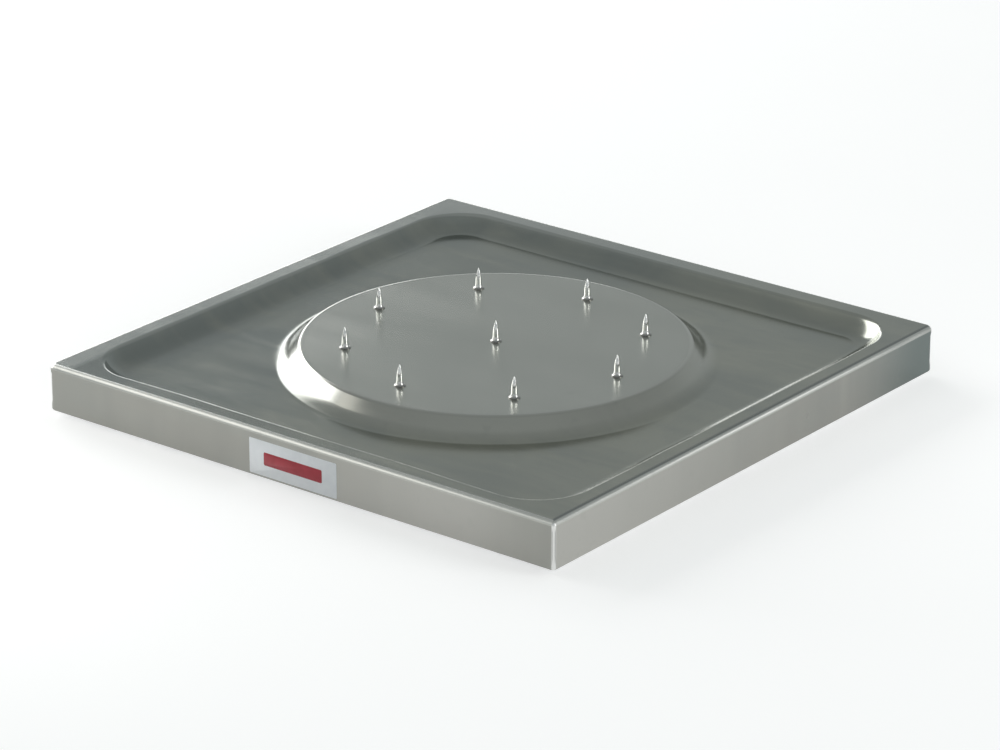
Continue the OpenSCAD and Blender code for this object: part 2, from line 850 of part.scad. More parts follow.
module inlet_nuts() {
    color(ZINC) at_inlet_screws() translate([0, 0, -sheet_t - inlet_nut_h])
        hex_nut(inlet_nut_af, inlet_nut_h, inlet_screw_d + screw_fit);
}

// Wiring
function unit(v) = v / norm(v);
function heading(p, i) = unit(p[min(i + 1, len(p) - 1)] - p[max(i - 1, 0)]);
function hoop(p, i, r, n, ref) =
    let (t = heading(p, i), u = unit(cross(ref, t)), v = cross(t, u))
    [for (k = [0:n - 1]) p[i] + r * (cos(360 * k / n) * u + sin(360 * k / n) * v)];

// A smooth curve that leaves a along da and arrives at b along db, straight at both ends
function curve(a, da, db, b, n = 10) =
    concat([a], bezier(a + wire_end * unit(da), da, db, b - wire_end * unit(db), n), [b]);
function bezier(a, da, db, b, n) = [for (i = [0:n]) let (u = i / n, w = 1 - u)
    a * w * w * w + 3 * (a + da) * u * w * w + 3 * (b - db) * u * u * w + b * u * u * u];
function tail(list) = [for (i = [1:len(list) - 1]) list[i]];

// A curve that passes the gap between tray and plateau at angle g, going inward and up
function through_gate(a, da, g, db, b) =
    let (up = [0, -4, 14]) concat(curve(a, da, up, gate(g)), tail(curve(gate(g), up, db, b)));

module wire(p, d, ref) {
    n = 8;
    m = len(p);
    points = [for (i = [0:m - 1]) each hoop(p, i, d / 2, n, ref)];
    sides = [for (i = [0:m - 2], k = [0:n - 1]) each
        let (a = i * n + k, b = i * n + (k + 1) % n) [[a, a + n, b], [b, a + n, b + n]]];
    ends = [[for (k = [0:n - 1]) k], [for (k = [n - 1:-1:0]) (m - 1) * n + k]];
    polyhedron(points, concat(sides, ends));
}

function pin_end(i) = rear_point(inlet_x, PIN_PLACES[i][0], PIN_PLACES[i][1], -inlet_depth - tab_l);
function thermostat_end(s) = rear_point(
    thermostat_x, s * terminal_x, terminal_y + tab_t / 2, -sheet_t - thermostat_depth - tab_l
);

module wire_live_inlet() {
    a = pin_end(1);
    b = rear_point(switch_x, 0, -terminal_y, -switch_depth - tab_l);
    color(BROWN) wire(curve(a, [0, -26, 0], [0, 26, 0], b, 16), wire_d, [0, 0, 1]);
}

module wire_live_switch() {
    a = rear_point(switch_x, 0, terminal_y, -switch_depth - tab_l);
    b = thermostat_end(-1);
    color(BROWN) wire(curve(a, [0, -24, 0], [0, 16, 0], b, 16), wire_d, [0, 0, 1]);
}

module wire_live_thermostat() {
    a = thermostat_end(1);
    b = [cutout_x, cutout_y + cutout_d / 2 + tab_l - 1, spreader_z - cutout_h / 2];
    color(BROWN) wire(through_gate(a, [0, -30, 0], 83, [0, -30, 0], b), wire_d, [1, 0, 0]);
}

module wire_live_element() {
    a = [cutout_x, cutout_y - cutout_d / 2 - tab_l + 1, spreader_z - cutout_h / 2];
    inner = inner_ring_r - terminal_w / 2;
    b = polar(inner, ring_start, -terminal_l / 2);
    into = 20 * [cos(ring_start), sin(ring_start), 0];
    color(BROWN) wire(curve(a, [0, -20, 0], into, b, 16), wire_d, [0, 0, 1]);
}

module wire_neutral() {
    a = pin_end(0);
    side = 180 - ring_start;
    b = polar(outer_ring_r, side, terminal_l);
    into = 14 * [sin(side), -cos(side), 0];
    color(BLUE) wire(through_gate(a, [0, -60, 0], 70, into, b), wire_d, [0, 0.2, 1]);
}

module wire_earth() {
    a = pin_end(2);
    nut_r = earth_nut_af / 2 / cos(30);
    b = [earth_pos[0] - nut_r, earth_pos[1], skirt_z + earth_base_t + earth_nut_h / 2];
    over = [inlet_x + 12, a[1] - 8, a[2] + 6];
    rise = curve(a, [0, -6, 0], [8, 0, 2], over, 8);
    path = concat(rise, tail(curve(over, [12, 0, 3], [14, 0, 0], b, 8)));
    color(GREEN) wire(path, wire_d, [0, 1, 0.3]);
}

module capillary_tube() {
    a = rear_point(thermostat_x, 0, capillary_y, -sheet_t - thermostat_depth);
    b = [bulb_x, bulb_start + bulb_l, spreader_z - bulb_d / 2];
    color(COPPER) wire(through_gate(a, [0, -40, 0], 97, [0, -24, 0], b), capillary_d, [1, 0, 0]);
}

module earth_stud() {
    color(COPPER) translate([earth_pos[0], earth_pos[1], skirt_z]) {
        cylinder(h = earth_base_t, d = earth_base_d);
        cylinder(h = earth_l, d = earth_d);
    }
}

module earth_nuts() {
    color(ZINC) translate([earth_pos[0], earth_pos[1], skirt_z + earth_base_t]) for (i = [0, 1])
        translate([0, 0, i * (earth_nut_h + running_fit)])
            hex_nut(earth_nut_af, earth_nut_h, earth_d + screw_fit);
}

// Base
module stiffener(side) {
    half = channel_web / 2;
    color(ZINC) translate([side * channel_x, -stiffener_l / 2, floor_z - sheet_t])
        rotate([-90, 0, 0]) linear_extrude(stiffener_l) difference() {
            union() {
                translate([-half - channel_lip, 0]) square([2 * (half + channel_lip), sheet_t]);
                translate([-half, 0]) square([channel_web, stiffener_h]);
            }
            translate([sheet_t - half, -1]) square([channel_web - 2 * sheet_t, stiffener_h - sheet_t + 1]);
        }
}

module base_cover() {
    size = [deck_w - 2 * cover_inset, deck_d - 2 * cover_inset];
    color(ZINC) translate([0, 0, foot_h]) linear_extrude(cover_t) difference() {
        rounded_rect(size, corner_r - cover_inset);
        at_flange_screws() circle(d = flange_screw_d + hole_fit);
        at_feet() circle(d = foot_screw_d + hole_fit);
        for (i = [-vents_each_side:vents_each_side], j = [-1, 1], k = [0, 1])
            translate([i * vent_pitch, j * (foot_y + k * vent_pitch)]) circle(d = vent_d);
    }
}

module base_screws() {
    color(ZINC) translate([0, 0, foot_h]) at_flange_screws()
        screw_up(flange_screw_d, cover_t + sheet_t + screw_spare, flange_head_d, flange_head_h);
}

module foot(sx, sy) {
    recess = foot_head_h + lift;
    color(RUBBER) translate([sx * foot_x, sy * foot_y, 0]) difference() {
        cylinder(h = foot_h, d1 = foot_d - foot_taper, d2 = foot_d);
        translate([0, 0, -1]) cylinder(h = recess + 1, d = foot_head_d + 2 * recess_gap);
        cylinder(h = foot_h + 1, d = foot_screw_d + hole_fit);
    }
}

module foot_screws() {
    recess = foot_head_h + lift;
    l = foot_h - recess + cover_t + foot_nut_h + stud_spare;
    color(ZINC) translate([0, 0, recess]) at_feet()
        screw_up(foot_screw_d, l, foot_head_d, foot_head_h);
}

module foot_nuts() {
    color(ZINC) translate([0, 0, skirt_z]) at_feet()
        hex_nut(foot_nut_af, foot_nut_h, foot_screw_d + screw_fit);
}

top_deck();
front_label();
spike();  // spike_centre
for (i = [1:8]) ring_spike(i);
spike_washers();
spike_nuts();
heat_spreader();
ring_element(inner_ring_r);  // inner_element
ring_element(outer_ring_r);  // outer_element
element_clamps();
clamp_screws();
element_terminals();
element_jumpers();
insulation();
insulation_tray();
tray_standoffs();
tray_screws();
thermal_cutout();
sensing_bulb();
bulb_clips();
capillary_tube();
thermostat_body();
thermostat_terminals();
thermostat_shaft();
thermostat_knob();
thermostat_nut();
dial_plate();
switch_housing();
switch_rocker();
switch_terminals();
inlet_body();
inlet_pins();
inlet_screws();
inlet_nuts();
earth_stud();
earth_nuts();
wire_live_inlet();
wire_live_switch();
wire_live_thermostat();
wire_live_element();
wire_neutral();
wire_earth();
stiffener(-1);  // stiffener_left
stiffener(1);  // stiffener_right
base_cover();
base_screws();
foot(-1, -1);  // foot_front_left
foot(1, -1);  // foot_front_right
foot(-1, 1);  // foot_rear_left
foot(1, 1);  // foot_rear_right
foot_screws();
foot_nuts();
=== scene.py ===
"""Dresses the heated carving station: steel deck, turned spikes, label plate and rear controls."""
import json
import math

import bpy
import numpy as np
from mathutils import Matrix, Vector


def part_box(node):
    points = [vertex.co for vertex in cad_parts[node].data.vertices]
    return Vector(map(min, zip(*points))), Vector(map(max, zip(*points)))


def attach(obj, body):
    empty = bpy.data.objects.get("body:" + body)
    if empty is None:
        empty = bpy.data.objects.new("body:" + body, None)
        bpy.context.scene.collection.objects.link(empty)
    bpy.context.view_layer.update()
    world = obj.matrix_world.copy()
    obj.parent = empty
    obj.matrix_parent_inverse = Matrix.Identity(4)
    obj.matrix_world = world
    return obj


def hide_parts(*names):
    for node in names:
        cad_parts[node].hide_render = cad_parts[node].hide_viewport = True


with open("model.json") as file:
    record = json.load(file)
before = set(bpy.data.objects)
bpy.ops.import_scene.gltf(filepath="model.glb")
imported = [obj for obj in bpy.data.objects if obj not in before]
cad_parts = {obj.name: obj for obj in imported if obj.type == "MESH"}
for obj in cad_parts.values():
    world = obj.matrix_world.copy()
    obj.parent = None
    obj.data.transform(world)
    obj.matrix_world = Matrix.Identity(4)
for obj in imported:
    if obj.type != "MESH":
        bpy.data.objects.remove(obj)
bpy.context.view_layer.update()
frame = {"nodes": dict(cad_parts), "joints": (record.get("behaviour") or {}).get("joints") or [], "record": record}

MM = 0.001
SLOTS = {part["node"]: part["material_slot"] for part in frame["record"]["subparts"]}

# Camera, as the photograph was taken
CAMERA_AZIMUTH = 38.18
CAMERA_ELEVATION = 21.77
CAMERA_TARGET = Vector((0.053, -0.061, 0.053))
CAMERA_DISTANCE = 4.108
CAMERA_LENS = 156.07
SENSOR_WIDTH = 36.0
CAMERA_CLIP = (0.05, 200)

# Deck, in metres
SHEET = 1.2 * MM
FLANGE = 16 * MM
HEM_RADIUS = 1.6 * MM
FOLD_RADIUS = 5 * MM
CORNER_RADIUS = 8 * MM
TIGHT_CORNER_RADIUS = 3.2 * MM
RIM = 19.5 * MM
PLATEAU_RISE = 3 * MM
WELL_DEPTH = 15 * MM
WELL_CORNER = 58 * MM
WALL_TOP = 6 * MM
WALL_FOOT = 30 * MM
PLATEAU_RADIUS = 187 * MM
PLATEAU_SLOPE = math.radians(45)
PLATEAU_EDGE = 6 * MM
PLATEAU_FOOT = 24 * MM
SIDE_REACH = 220 * MM
SIDE_STEP = 8 * MM

DECK_LOW, DECK_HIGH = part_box("top_deck")
HALF_W = DECK_HIGH.x
HALF_D = DECK_HIGH.y
SKIRT_Z = DECK_LOW.z
PLATEAU_Z = DECK_HIGH.z
RIM_Z = PLATEAU_Z - PLATEAU_RISE


def middle(node):
    """Centre of a CAD node's box."""
    low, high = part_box(node)
    return (low + high) / 2


def direction(azimuth, elevation):
    """Unit vector towards a place at this azimuth from +X and this elevation, in degrees."""
    a, e = math.radians(azimuth), math.radians(elevation)
    return Vector((math.cos(a) * math.cos(e), math.sin(a) * math.cos(e), math.sin(e)))


def make_camera():
    camera = bpy.data.objects.new("camera", bpy.data.cameras.new("camera"))
    camera.data.sensor_width = SENSOR_WIDTH
    camera.data.lens = CAMERA_LENS
    camera.data.clip_start, camera.data.clip_end = CAMERA_CLIP
    back = direction(CAMERA_AZIMUTH - 90, CAMERA_ELEVATION)
    camera.location = CAMERA_TARGET + back * CAMERA_DISTANCE
    camera.rotation_mode = "QUATERNION"
    camera.rotation_quaternion = (-back).to_track_quat("-Z", "Y")
    bpy.context.scene.collection.objects.link(camera)
    bpy.context.scene.camera = camera


# Node helpers

def add(tree, kind, inputs=None, **settings):
    """A shader node with its settings, and its inputs set to values or linked to sockets."""
    made = tree.nodes.new(kind)
    for key, value in settings.items():
        setattr(made, key, value)
    for key, value in (inputs or {}).items():
        if isinstance(value, bpy.types.NodeSocket):
            tree.links.new(value, made.inputs[key])
        else:
            made.inputs[key].default_value = value
    return made


def place(tree, stretch=(1, 1, 1), turn=0.0):
    """Object coordinates in metres, stretched and turned about Z."""
    source = add(tree, "ShaderNodeTexCoord").outputs["Object"]
    inputs = {"Vector": source, "Scale": stretch, "Rotation": (0, 0, math.radians(turn))}
    return add(tree, "ShaderNodeMapping", inputs).outputs["Vector"]


def noise(tree, where, scale, detail=3.0, roughness=0.5, distortion=0.0):
    inputs = {"Vector": where, "Scale": scale, "Detail": detail, "Roughness": roughness,
              "Distortion": distortion}
    return add(tree, "ShaderNodeTexNoise", inputs).outputs["Fac"]


def maths(tree, operation, a, b=0.0, c=0.0):
    return add(tree, "ShaderNodeMath", {0: a, 1: b, 2: c}, operation=operation).outputs[0]


def plus(tree, a, b):
    return maths(tree, "ADD", a, b)


def times(tree, a, b):
    return maths(tree, "MULTIPLY", a, b)


def rest_of(tree, share):
    """One minus a share."""
    return maths(tree, "SUBTRACT", 1.0, share)


def size_of(tree, value):
    return maths(tree, "ABSOLUTE", value)


def spread(tree, value, start, end, low=0.0, high=1.0, smooth=False):
    """Maps start..end to low..high, clamped."""
    kind = "SMOOTHSTEP" if smooth else "LINEAR"
    inputs = {"Value": value, "From Min": start, "From Max": end, "To Min": low, "To Max": high}
    return add(tree, "ShaderNodeMapRange", inputs, interpolation_type=kind).outputs["Result"]


def blend_colour(tree, share, a, b):
    made = add(tree, "ShaderNodeMix", data_type="RGBA")
    for socket, value in ((0, share), (6, a), (7, b)):
        if isinstance(value, bpy.types.NodeSocket):
            tree.links.new(value, made.inputs[socket])
        elif socket:
            made.inputs[socket].default_value = (*value, 1)
        else:
            made.inputs[socket].default_value = value
    return made.outputs[2]


def bump(tree, height, strength, distance, under=None):
    inputs = {"Height": height, "Strength": strength, "Distance": distance}
    if under is not None:
        inputs["Normal"] = under
    return add(tree, "ShaderNodeBump", inputs).outputs["Normal"]


def new_material(name, **settings):
    """A material, its node tree and its shader, with constant values set on the shader."""
    material = bpy.data.materials.new(name)
    material.use_nodes = True
    tree = material.node_tree
    shader = tree.nodes["Principled BSDF"]
    for key, value in settings.items():
        shader.inputs[key.replace("_", " ")].default_value = value
    return material, tree, shader


def wire_up(tree, shader, colour=None, roughness=None, normal=None):
    for key, value in (("Base Color", colour), ("Roughness", roughness), ("Normal", normal)):
        if value is not None:
            tree.links.new(value, shader.inputs[key])


def split(tree, where):
    return add(tree, "ShaderNodeSeparateXYZ", {"Vector": where}).outputs


# Materials

# Tones of the deck. The sheet and the skirt each have two, the others belong to one zone
SHEET_TONES = (0.315, 0.336, 0.318), (0.445, 0.450, 0.392)
# Painted reflection: the plateau's ramp is painted paler than the sheet
SLOPE_REFLECTION_TONE = (0.52, 0.52, 0.475)
# Painted reflection: the top of the plateau is painted paler than the sheet
PLATEAU_REFLECTION_TONE = (0.55, 0.56, 0.515)
# Painted highlight: a pale line round the plateau's edge
PLATEAU_EDGE_HIGHLIGHT_TONE = (0.78, 0.78, 0.74)
# Painted reflection: the rim along the rear and the left side is painted paler
FAR_RIM_REFLECTION_TONE = (0.58, 0.595, 0.565)
# Painted shade: the skirt's steel is darker than the top's, with upright bands
SHADED_SKIRT_TONES = (0.295, 0.30, 0.28), (0.345, 0.345, 0.32)
SKIRT_CLOUD_TONE = (0.32, 0.315, 0.29)
# Painted reflection: the right skirt is paler towards the front corner
NEAR_END_REFLECTION_TONE = (0.50, 0.495, 0.465)
# Painted shade: the right skirt is dark and bluish towards the rear
REAR_END_SHADE_TONE = (0.135, 0.165, 0.16)
# Painted highlight: paler at the rear corners and along the rear skirt
REAR_CORNER_HIGHLIGHT_TONE = (0.42, 0.43, 0.41)
# Painted reflection: a paler patch on the front skirt, right of the middle
FRONT_PATCH_REFLECTION_TONE = (0.42, 0.415, 0.39)
# Painted shade: a dark line on the top just inside the right fold
SHADE_LINE_TONE = (0.25, 0.27, 0.26)
# Painted highlight: a pale line along the fold
FOLD_HIGHLIGHT_TONE = (0.76, 0.76, 0.72)
SPECK_TONE = (0.30, 0.315, 0.29)
# Ground weld at the front corner, painted pale as its highlight
WELD_GLINT_TONE = (0.80, 0.80, 0.78)

# Roughness that each zone has more than the sheet
ROUGHER = {"skirt": 0.14, "rim": 0.01, "plateau": 0.06, "fold": 0.15, "weld_glint": 0.2}


def deck_zones(tree, where):
    """The deck's zones by name, each a share from 0 outside it to 1 inside."""
    x, y, z = split(tree, where)
    inputs = {0: where, 1: (1, 1, 0)}
    flat = add(tree, "ShaderNodeVectorMath", inputs, operation="MULTIPLY").outputs[0]
    radius = add(tree, "ShaderNodeVectorMath", {0: flat}, operation="LENGTH").outputs["Value"]
    edge_distance = maths(tree, "SUBTRACT", radius, PLATEAU_RADIUS + 1.2 * MM)
    beyond = spread(tree, radius, PLATEAU_RADIUS + 20 * MM, PLATEAU_RADIUS + 30 * MM)
    level = spread(tree, z, RIM_Z - 3 * MM, RIM_Z - 1.2 * MM, smooth=True)

    reach = maths(tree, "MAXIMUM", size_of(tree, x), size_of(tree, y))
    fold_start = HALF_W - FOLD_RADIUS
    low = spread(tree, z, RIM_Z - 2.5 * MM, RIM_Z - FOLD_RADIUS, smooth=True)
    skirt = times(tree, low, spread(tree, reach, HALF_W - RIM, fold_start))
    fold_end = HALF_W - FOLD_RADIUS * 0.7
    fold = spread(tree, reach, fold_start - 1 * MM, fold_end, smooth=True)
    right = spread(tree, maths(tree, "SUBTRACT", x, size_of(tree, y)), -1 * MM, 1 * MM)
    # Painted shade: a dark line on the top just inside the right fold
    shade_line = spread(tree, x, HALF_W - FOLD_RADIUS * 1.5, fold_start, 0, 0.9)

    inputs = {0: flat, 1: (HALF_W, -HALF_D, 0)}
    corner = add(tree, "ShaderNodeVectorMath", inputs, operation="DISTANCE").outputs["Value"]
    return {
        "plateau": spread(tree, radius, PLATEAU_RADIUS + 2 * MM, PLATEAU_RADIUS - 3 * MM, smooth=True),
        "slope": spread(tree, radius, PLATEAU_RADIUS + 26 * MM, PLATEAU_RADIUS + 12 * MM),
        "edge": rest_of(tree, spread(tree, size_of(tree, edge_distance), 0.8 * MM, 2.4 * MM)),
        "rim": times(tree, level, beyond),
        "skirt": skirt,
        "fold": times(tree, fold, rest_of(tree, skirt)),
        "right": right,
        "shade_line": times(tree, shade_line, maths(tree, "SUBTRACT", right, skirt)),
        "weld_glint": spread(tree, corner, 3.6 * MM, 2.2 * MM, smooth=True),
    }


def skirt_colour(tree, x, y, right, clouds):
    """Upright bands on a skirt painted darker than the top as shade. On the right side a painted reflection makes
    it paler near the front corner, and painted shade makes it dark at the rear. A painted highlight pales the rear
    corners and the rear skirt, and a painted reflection pales a patch of the front skirt.
    """
    bands = noise(tree, place(tree, (1, 1, 0.1)), 17, 2, 0.5, 0.6)
    colour = blend_colour(tree, spread(tree, bands, 0.3, 0.7), *SHADED_SKIRT_TONES)
    colour = blend_colour(tree, spread(tree, clouds, 0.35, 0.65, 0, 0.5), colour, SKIRT_CLOUD_TONE)
    # Painted reflection: the right skirt is paler towards the front corner
    near_end_reflection = times(tree, spread(tree, y, 0.12, -HALF_D, 0, 0.85, True), right)
    colour = blend_colour(tree, near_end_reflection, colour, NEAR_END_REFLECTION_TONE)
    # Painted shade: the right skirt is dark and bluish towards the rear
    rear_end_shade = times(tree, spread(tree, y, 0.14, 0.29, 0, 0.9, True), right)
    colour = blend_colour(tree, rear_end_shade, colour, REAR_END_SHADE_TONE)
    # Painted highlight: paler at the rear corners and along the rear skirt
    rear_corner_highlight = spread(tree, y, HALF_D - 8 * MM, HALF_D - 4 * MM, 0, 0.45)
    colour = blend_colour(tree, rear_corner_highlight, colour, REAR_CORNER_HIGHLIGHT_TONE)
    # Painted reflection: a paler patch on the front skirt, right of the middle
    patch = times(tree, spread(tree, x, 0.02, 0.16, 0, 0.8), spread(tree, x, 0.28, 0.21))
    patch = times(tree, patch, spread(tree, y, 0, -0.2))
    return blend_colour(tree, patch, colour, FRONT_PATCH_REFLECTION_TONE)


def far_rim(tree, x, y):
    """Where the rim is painted paler as a reflection of the pale background: along the rear and all of the left
    side.
    """
    rear = times(tree, spread(tree, y, 0.05, HALF_D), spread(tree, x, 0.35, -HALF_W, 0, 0.9))
    left = spread(tree, x, RIM * 1.5 - HALF_W, RIM - HALF_W, 0, 0.85)
    return maths(tree, "MAXIMUM", rear, left)


def bright_fold(tree, x, zones):
    """The painted highlight, a pale line along the fold, which starts further out on the right side."""
    late = spread(tree, x, HALF_W - FOLD_RADIUS * 0.8, HALF_W - FOLD_RADIUS * 0.45, smooth=True)
    line = times(tree, zones["fold"], maths(tree, "MAXIMUM", rest_of(tree, zones["right"]), late))
    return times(tree, line, 0.9)


def deck_steel():
    """Pressed stainless sheet: a soft mirror with cloudy stains, wiping marks and a welded front corner, ground
    and painted pale as its highlight. Its zones also carry painted reflections, highlights and shade.
    """
    material, tree, shader = new_material("deck_steel", Metallic=1.0)
    where = place(tree)
    x, y, _ = split(tree, where)
    zones = deck_zones(tree, where)
    clouds = noise(tree, place(tree, (1, 1, 2.5), 31), 9, 4, 0.55, 0.8)
    smears = noise(tree, place(tree, (1, 5.5, 2), -24), 6, 4, 0.6, 0.5)
    broad = noise(tree, place(tree, (1, 1, 1), 12), 4.2, 2, 0.5, 0.4)
    specks = noise(tree, where, 90, 2, 0.5)
    grain = noise(tree, place(tree, (1, 14, 14)), 40, 2, 0.5)

    tone = spread(tree, clouds, 0.32, 0.7, 0, 0.45)
    tone = plus(tree, tone, spread(tree, smears, 0.35, 0.7, 0, 0.4))
    tone = plus(tree, tone, spread(tree, broad, 0.35, 0.65, -0.1, 0.3))
    # Painted shade and reflection: the sheet is darker towards the left and paler towards the right
    tone = plus(tree, tone, spread(tree, x, -HALF_W, HALF_W, -0.3, 0.35))
    colour = blend_colour(tree, tone, *SHEET_TONES)
    for share, over in (
        # Painted reflection on the ramp
        (times(tree, zones["slope"], 0.75), SLOPE_REFLECTION_TONE),
        # Painted reflection on the plateau
        (times(tree, zones["plateau"], 0.8), PLATEAU_REFLECTION_TONE),
        # Painted highlight on the plateau's edge
        (times(tree, zones["edge"], 0.3), PLATEAU_EDGE_HIGHLIGHT_TONE),
        # Painted reflection on the far rim
        (times(tree, far_rim(tree, x, y), zones["rim"]), FAR_RIM_REFLECTION_TONE),
        (zones["skirt"], skirt_colour(tree, x, y, zones["right"], clouds)),
        # Painted shade inside the right fold
        (zones["shade_line"], SHADE_LINE_TONE),
        # Painted highlight on the fold
        (bright_fold(tree, x, zones), FOLD_HIGHLIGHT_TONE),
        (spread(tree, specks, 0.62, 0.78, 0, 0.15), SPECK_TONE),
        # The welded front corner, painted pale as its highlight
        (zones["weld_glint"], WELD_GLINT_TONE),
    ):
        colour = blend_colour(tree, share, colour, over)

    rough = spread(tree, clouds, 0.3, 0.7, 0.145, 0.175)
    rough = plus(tree, rough, spread(tree, smears, 0.35, 0.7, -0.02, 0.04))
    for name, more in ROUGHER.items():
        rough = plus(tree, rough, times(tree, zones[name], more))
    wire_up(tree, shader, colour, rough, bump(tree, grain, 0.03, 0.02 * MM))
    return material


def polished_steel():
    """Turned steel with fine rings left by the tool."""
    material, tree, shader = new_material("polished_steel", Metallic=1.0)
    where = place(tree)
    rings = noise(tree, place(tree, (1, 1, 900)), 4, 2, 0.5)
    clouds = noise(tree, where, 180, 3)
    share = spread(tree, clouds, 0.35, 0.65)
    colour = blend_colour(tree, share, (0.74, 0.74, 0.72), (0.84, 0.84, 0.82))
    # Painted shade: the foot, where it meets the plateau, is darkened
    foot_shade = spread(tree, split(tree, where)[2], PLATEAU_Z + 5 * MM, PLATEAU_Z + 1 * MM, 0, 0.85)
    colour = blend_colour(tree, foot_shade, colour, (0.33, 0.32, 0.30))
    rough = spread(tree, clouds, 0.3, 0.7, 0.1, 0.2)
    wire_up(tree, shader, colour, rough, bump(tree, rings, 0.15, 0.03 * MM))
    return material


def zinc_plate(name, pale, dark, low, high):
    """Plated or galvanised steel: patches of slightly different tone and gloss."""
    material, tree, shader = new_material(name, Metallic=1.0)
    inputs = {"Vector": place(tree), "Scale": 85.0}
    cells = add(tree, "ShaderNodeTexVoronoi", inputs).outputs["Color"]
    tone = split(tree, cells)[0]
    haze = noise(tree, place(tree), 30, 4, 0.6)
    share = plus(tree, times(tree, tone, 0.5), times(tree, haze, 0.5))
    colour = blend_colour(tree, share, dark, pale)
    rough = spread(tree, share, 0.2, 0.8, low, high)
    fine = noise(tree, place(tree), 900, 2)
    wire_up(tree, shader, colour, rough, bump(tree, fine, 0.1, 0.05 * MM))
    return material


def aluminium():
    """Brushed aluminium, the brushing runs along X."""
    material, tree, shader = new_material("aluminium", Metallic=1.0)
    brushing = noise(tree, place(tree, (1, 70, 70)), 25, 3, 0.7)
    colour = blend_colour(tree, brushing, (0.68, 0.69, 0.70), (0.82, 0.83, 0.84))
    rough = spread(tree, brushing, 0.3, 0.7, 0.25, 0.4)
    wire_up(tree, shader, colour, rough, bump(tree, brushing, 0.1, 0.05 * MM))
    return material


def sheath():
    """Heater tube: dark oxide with a straw and blue tint in patches."""
    material, tree, shader = new_material("sheath", Metallic=0.85)
    patches = noise(tree, place(tree), 28, 4, 0.6)
    tint = blend_colour(tree, spread(tree, patches, 0.4, 0.62), (0.24, 0.21, 0.16), (0.20, 0.22, 0.27))
    rough = spread(tree, patches, 0.3, 0.7, 0.35, 0.55)
    fine = noise(tree, place(tree), 600, 2)
    wire_up(tree, shader, tint, rough, bump(tree, fine, 0.2, 0.06 * MM))
    return material


def moulded(name, dark, pale, low, high, grain=700.0, depth=0.06, **settings):
    """Moulded plastic, rubber or ceramic with a fine surface texture and faint tone patches."""
    material, tree, shader = new_material(name, **settings)
    patches = noise(tree, place(tree), 45, 4, 0.6)
    texture = noise(tree, place(tree), grain, 2, 0.6)
    share = maths(tree, "MULTIPLY_ADD", texture, 0.3, times(tree, patches, 0.7))
    colour = blend_colour(tree, share, dark, pale)
    rough = spread(tree, share, 0.3, 0.7, low, high)
    wire_up(tree, shader, colour, rough, bump(tree, texture, 0.25, depth * MM))
    return material


def wool():
    """Mineral wool: matted fibres in a yellow grey."""
    material, tree, shader = new_material("wool", Roughness=0.95)
    fibres = noise(tree, place(tree, (1, 6, 2), 20), 160, 6, 0.75, 1.5)
    lumps = noise(tree, place(tree), 60, 3)
    colour = blend_colour(tree, fibres, (0.50, 0.43, 0.24), (0.86, 0.80, 0.62))
    matted = bump(tree, fibres, 0.6, 0.5 * MM)
    wire_up(tree, shader, colour, None, bump(tree, lumps, 0.5, 1.0 * MM, matted))
    return material


def copper():
    """Copper alloy with slight tarnish."""
    material, tree, shader = new_material("copper", Metallic=1.0)
    tarnish = noise(tree, place(tree), 220, 4, 0.6)
    colour = blend_colour(tree, spread(tree, tarnish, 0.4, 0.7), (0.80, 0.52, 0.33), (0.52, 0.31, 0.20))
    wire_up(tree, shader, colour, spread(tree, tarnish, 0.3, 0.7, 0.2, 0.42))
    return material


def film(name, pale, dark):
    """Printed film with a faint mottle and a slightly uneven gloss."""
    material, tree, shader = new_material(name, Coat_Weight=0.3, Coat_Roughness=0.15)
    mottle = noise(tree, place(tree), 90, 4, 0.6)
    fine = noise(tree, place(tree), 1200, 2)
    colour = blend_colour(tree, spread(tree, mottle, 0.35, 0.7), pale, dark)
    rough = spread(tree, mottle, 0.3, 0.7, 0.35, 0.5)
    wire_up(tree, shader, colour, rough, bump(tree, fine, 0.1, 0.03 * MM))
    return material


def striped_wire():
    """Green wire with a yellow stripe along one side."""
    material, tree, shader = new_material("wire_green", Roughness=0.4)
    stripe = noise(tree, place(tree, (40, 3, 3)), 3, 1)
    share = spread(tree, stripe, 0.5, 0.53)
    colour = blend_colour(tree, share, (0.08, 0.32, 0.06), (0.78, 0.66, 0.05))
    fine = noise(tree, place(tree), 500, 2)
    wire_up(tree, shader, colour, None, bump(tree, fine, 0.1, 0.04 * MM))
    return material


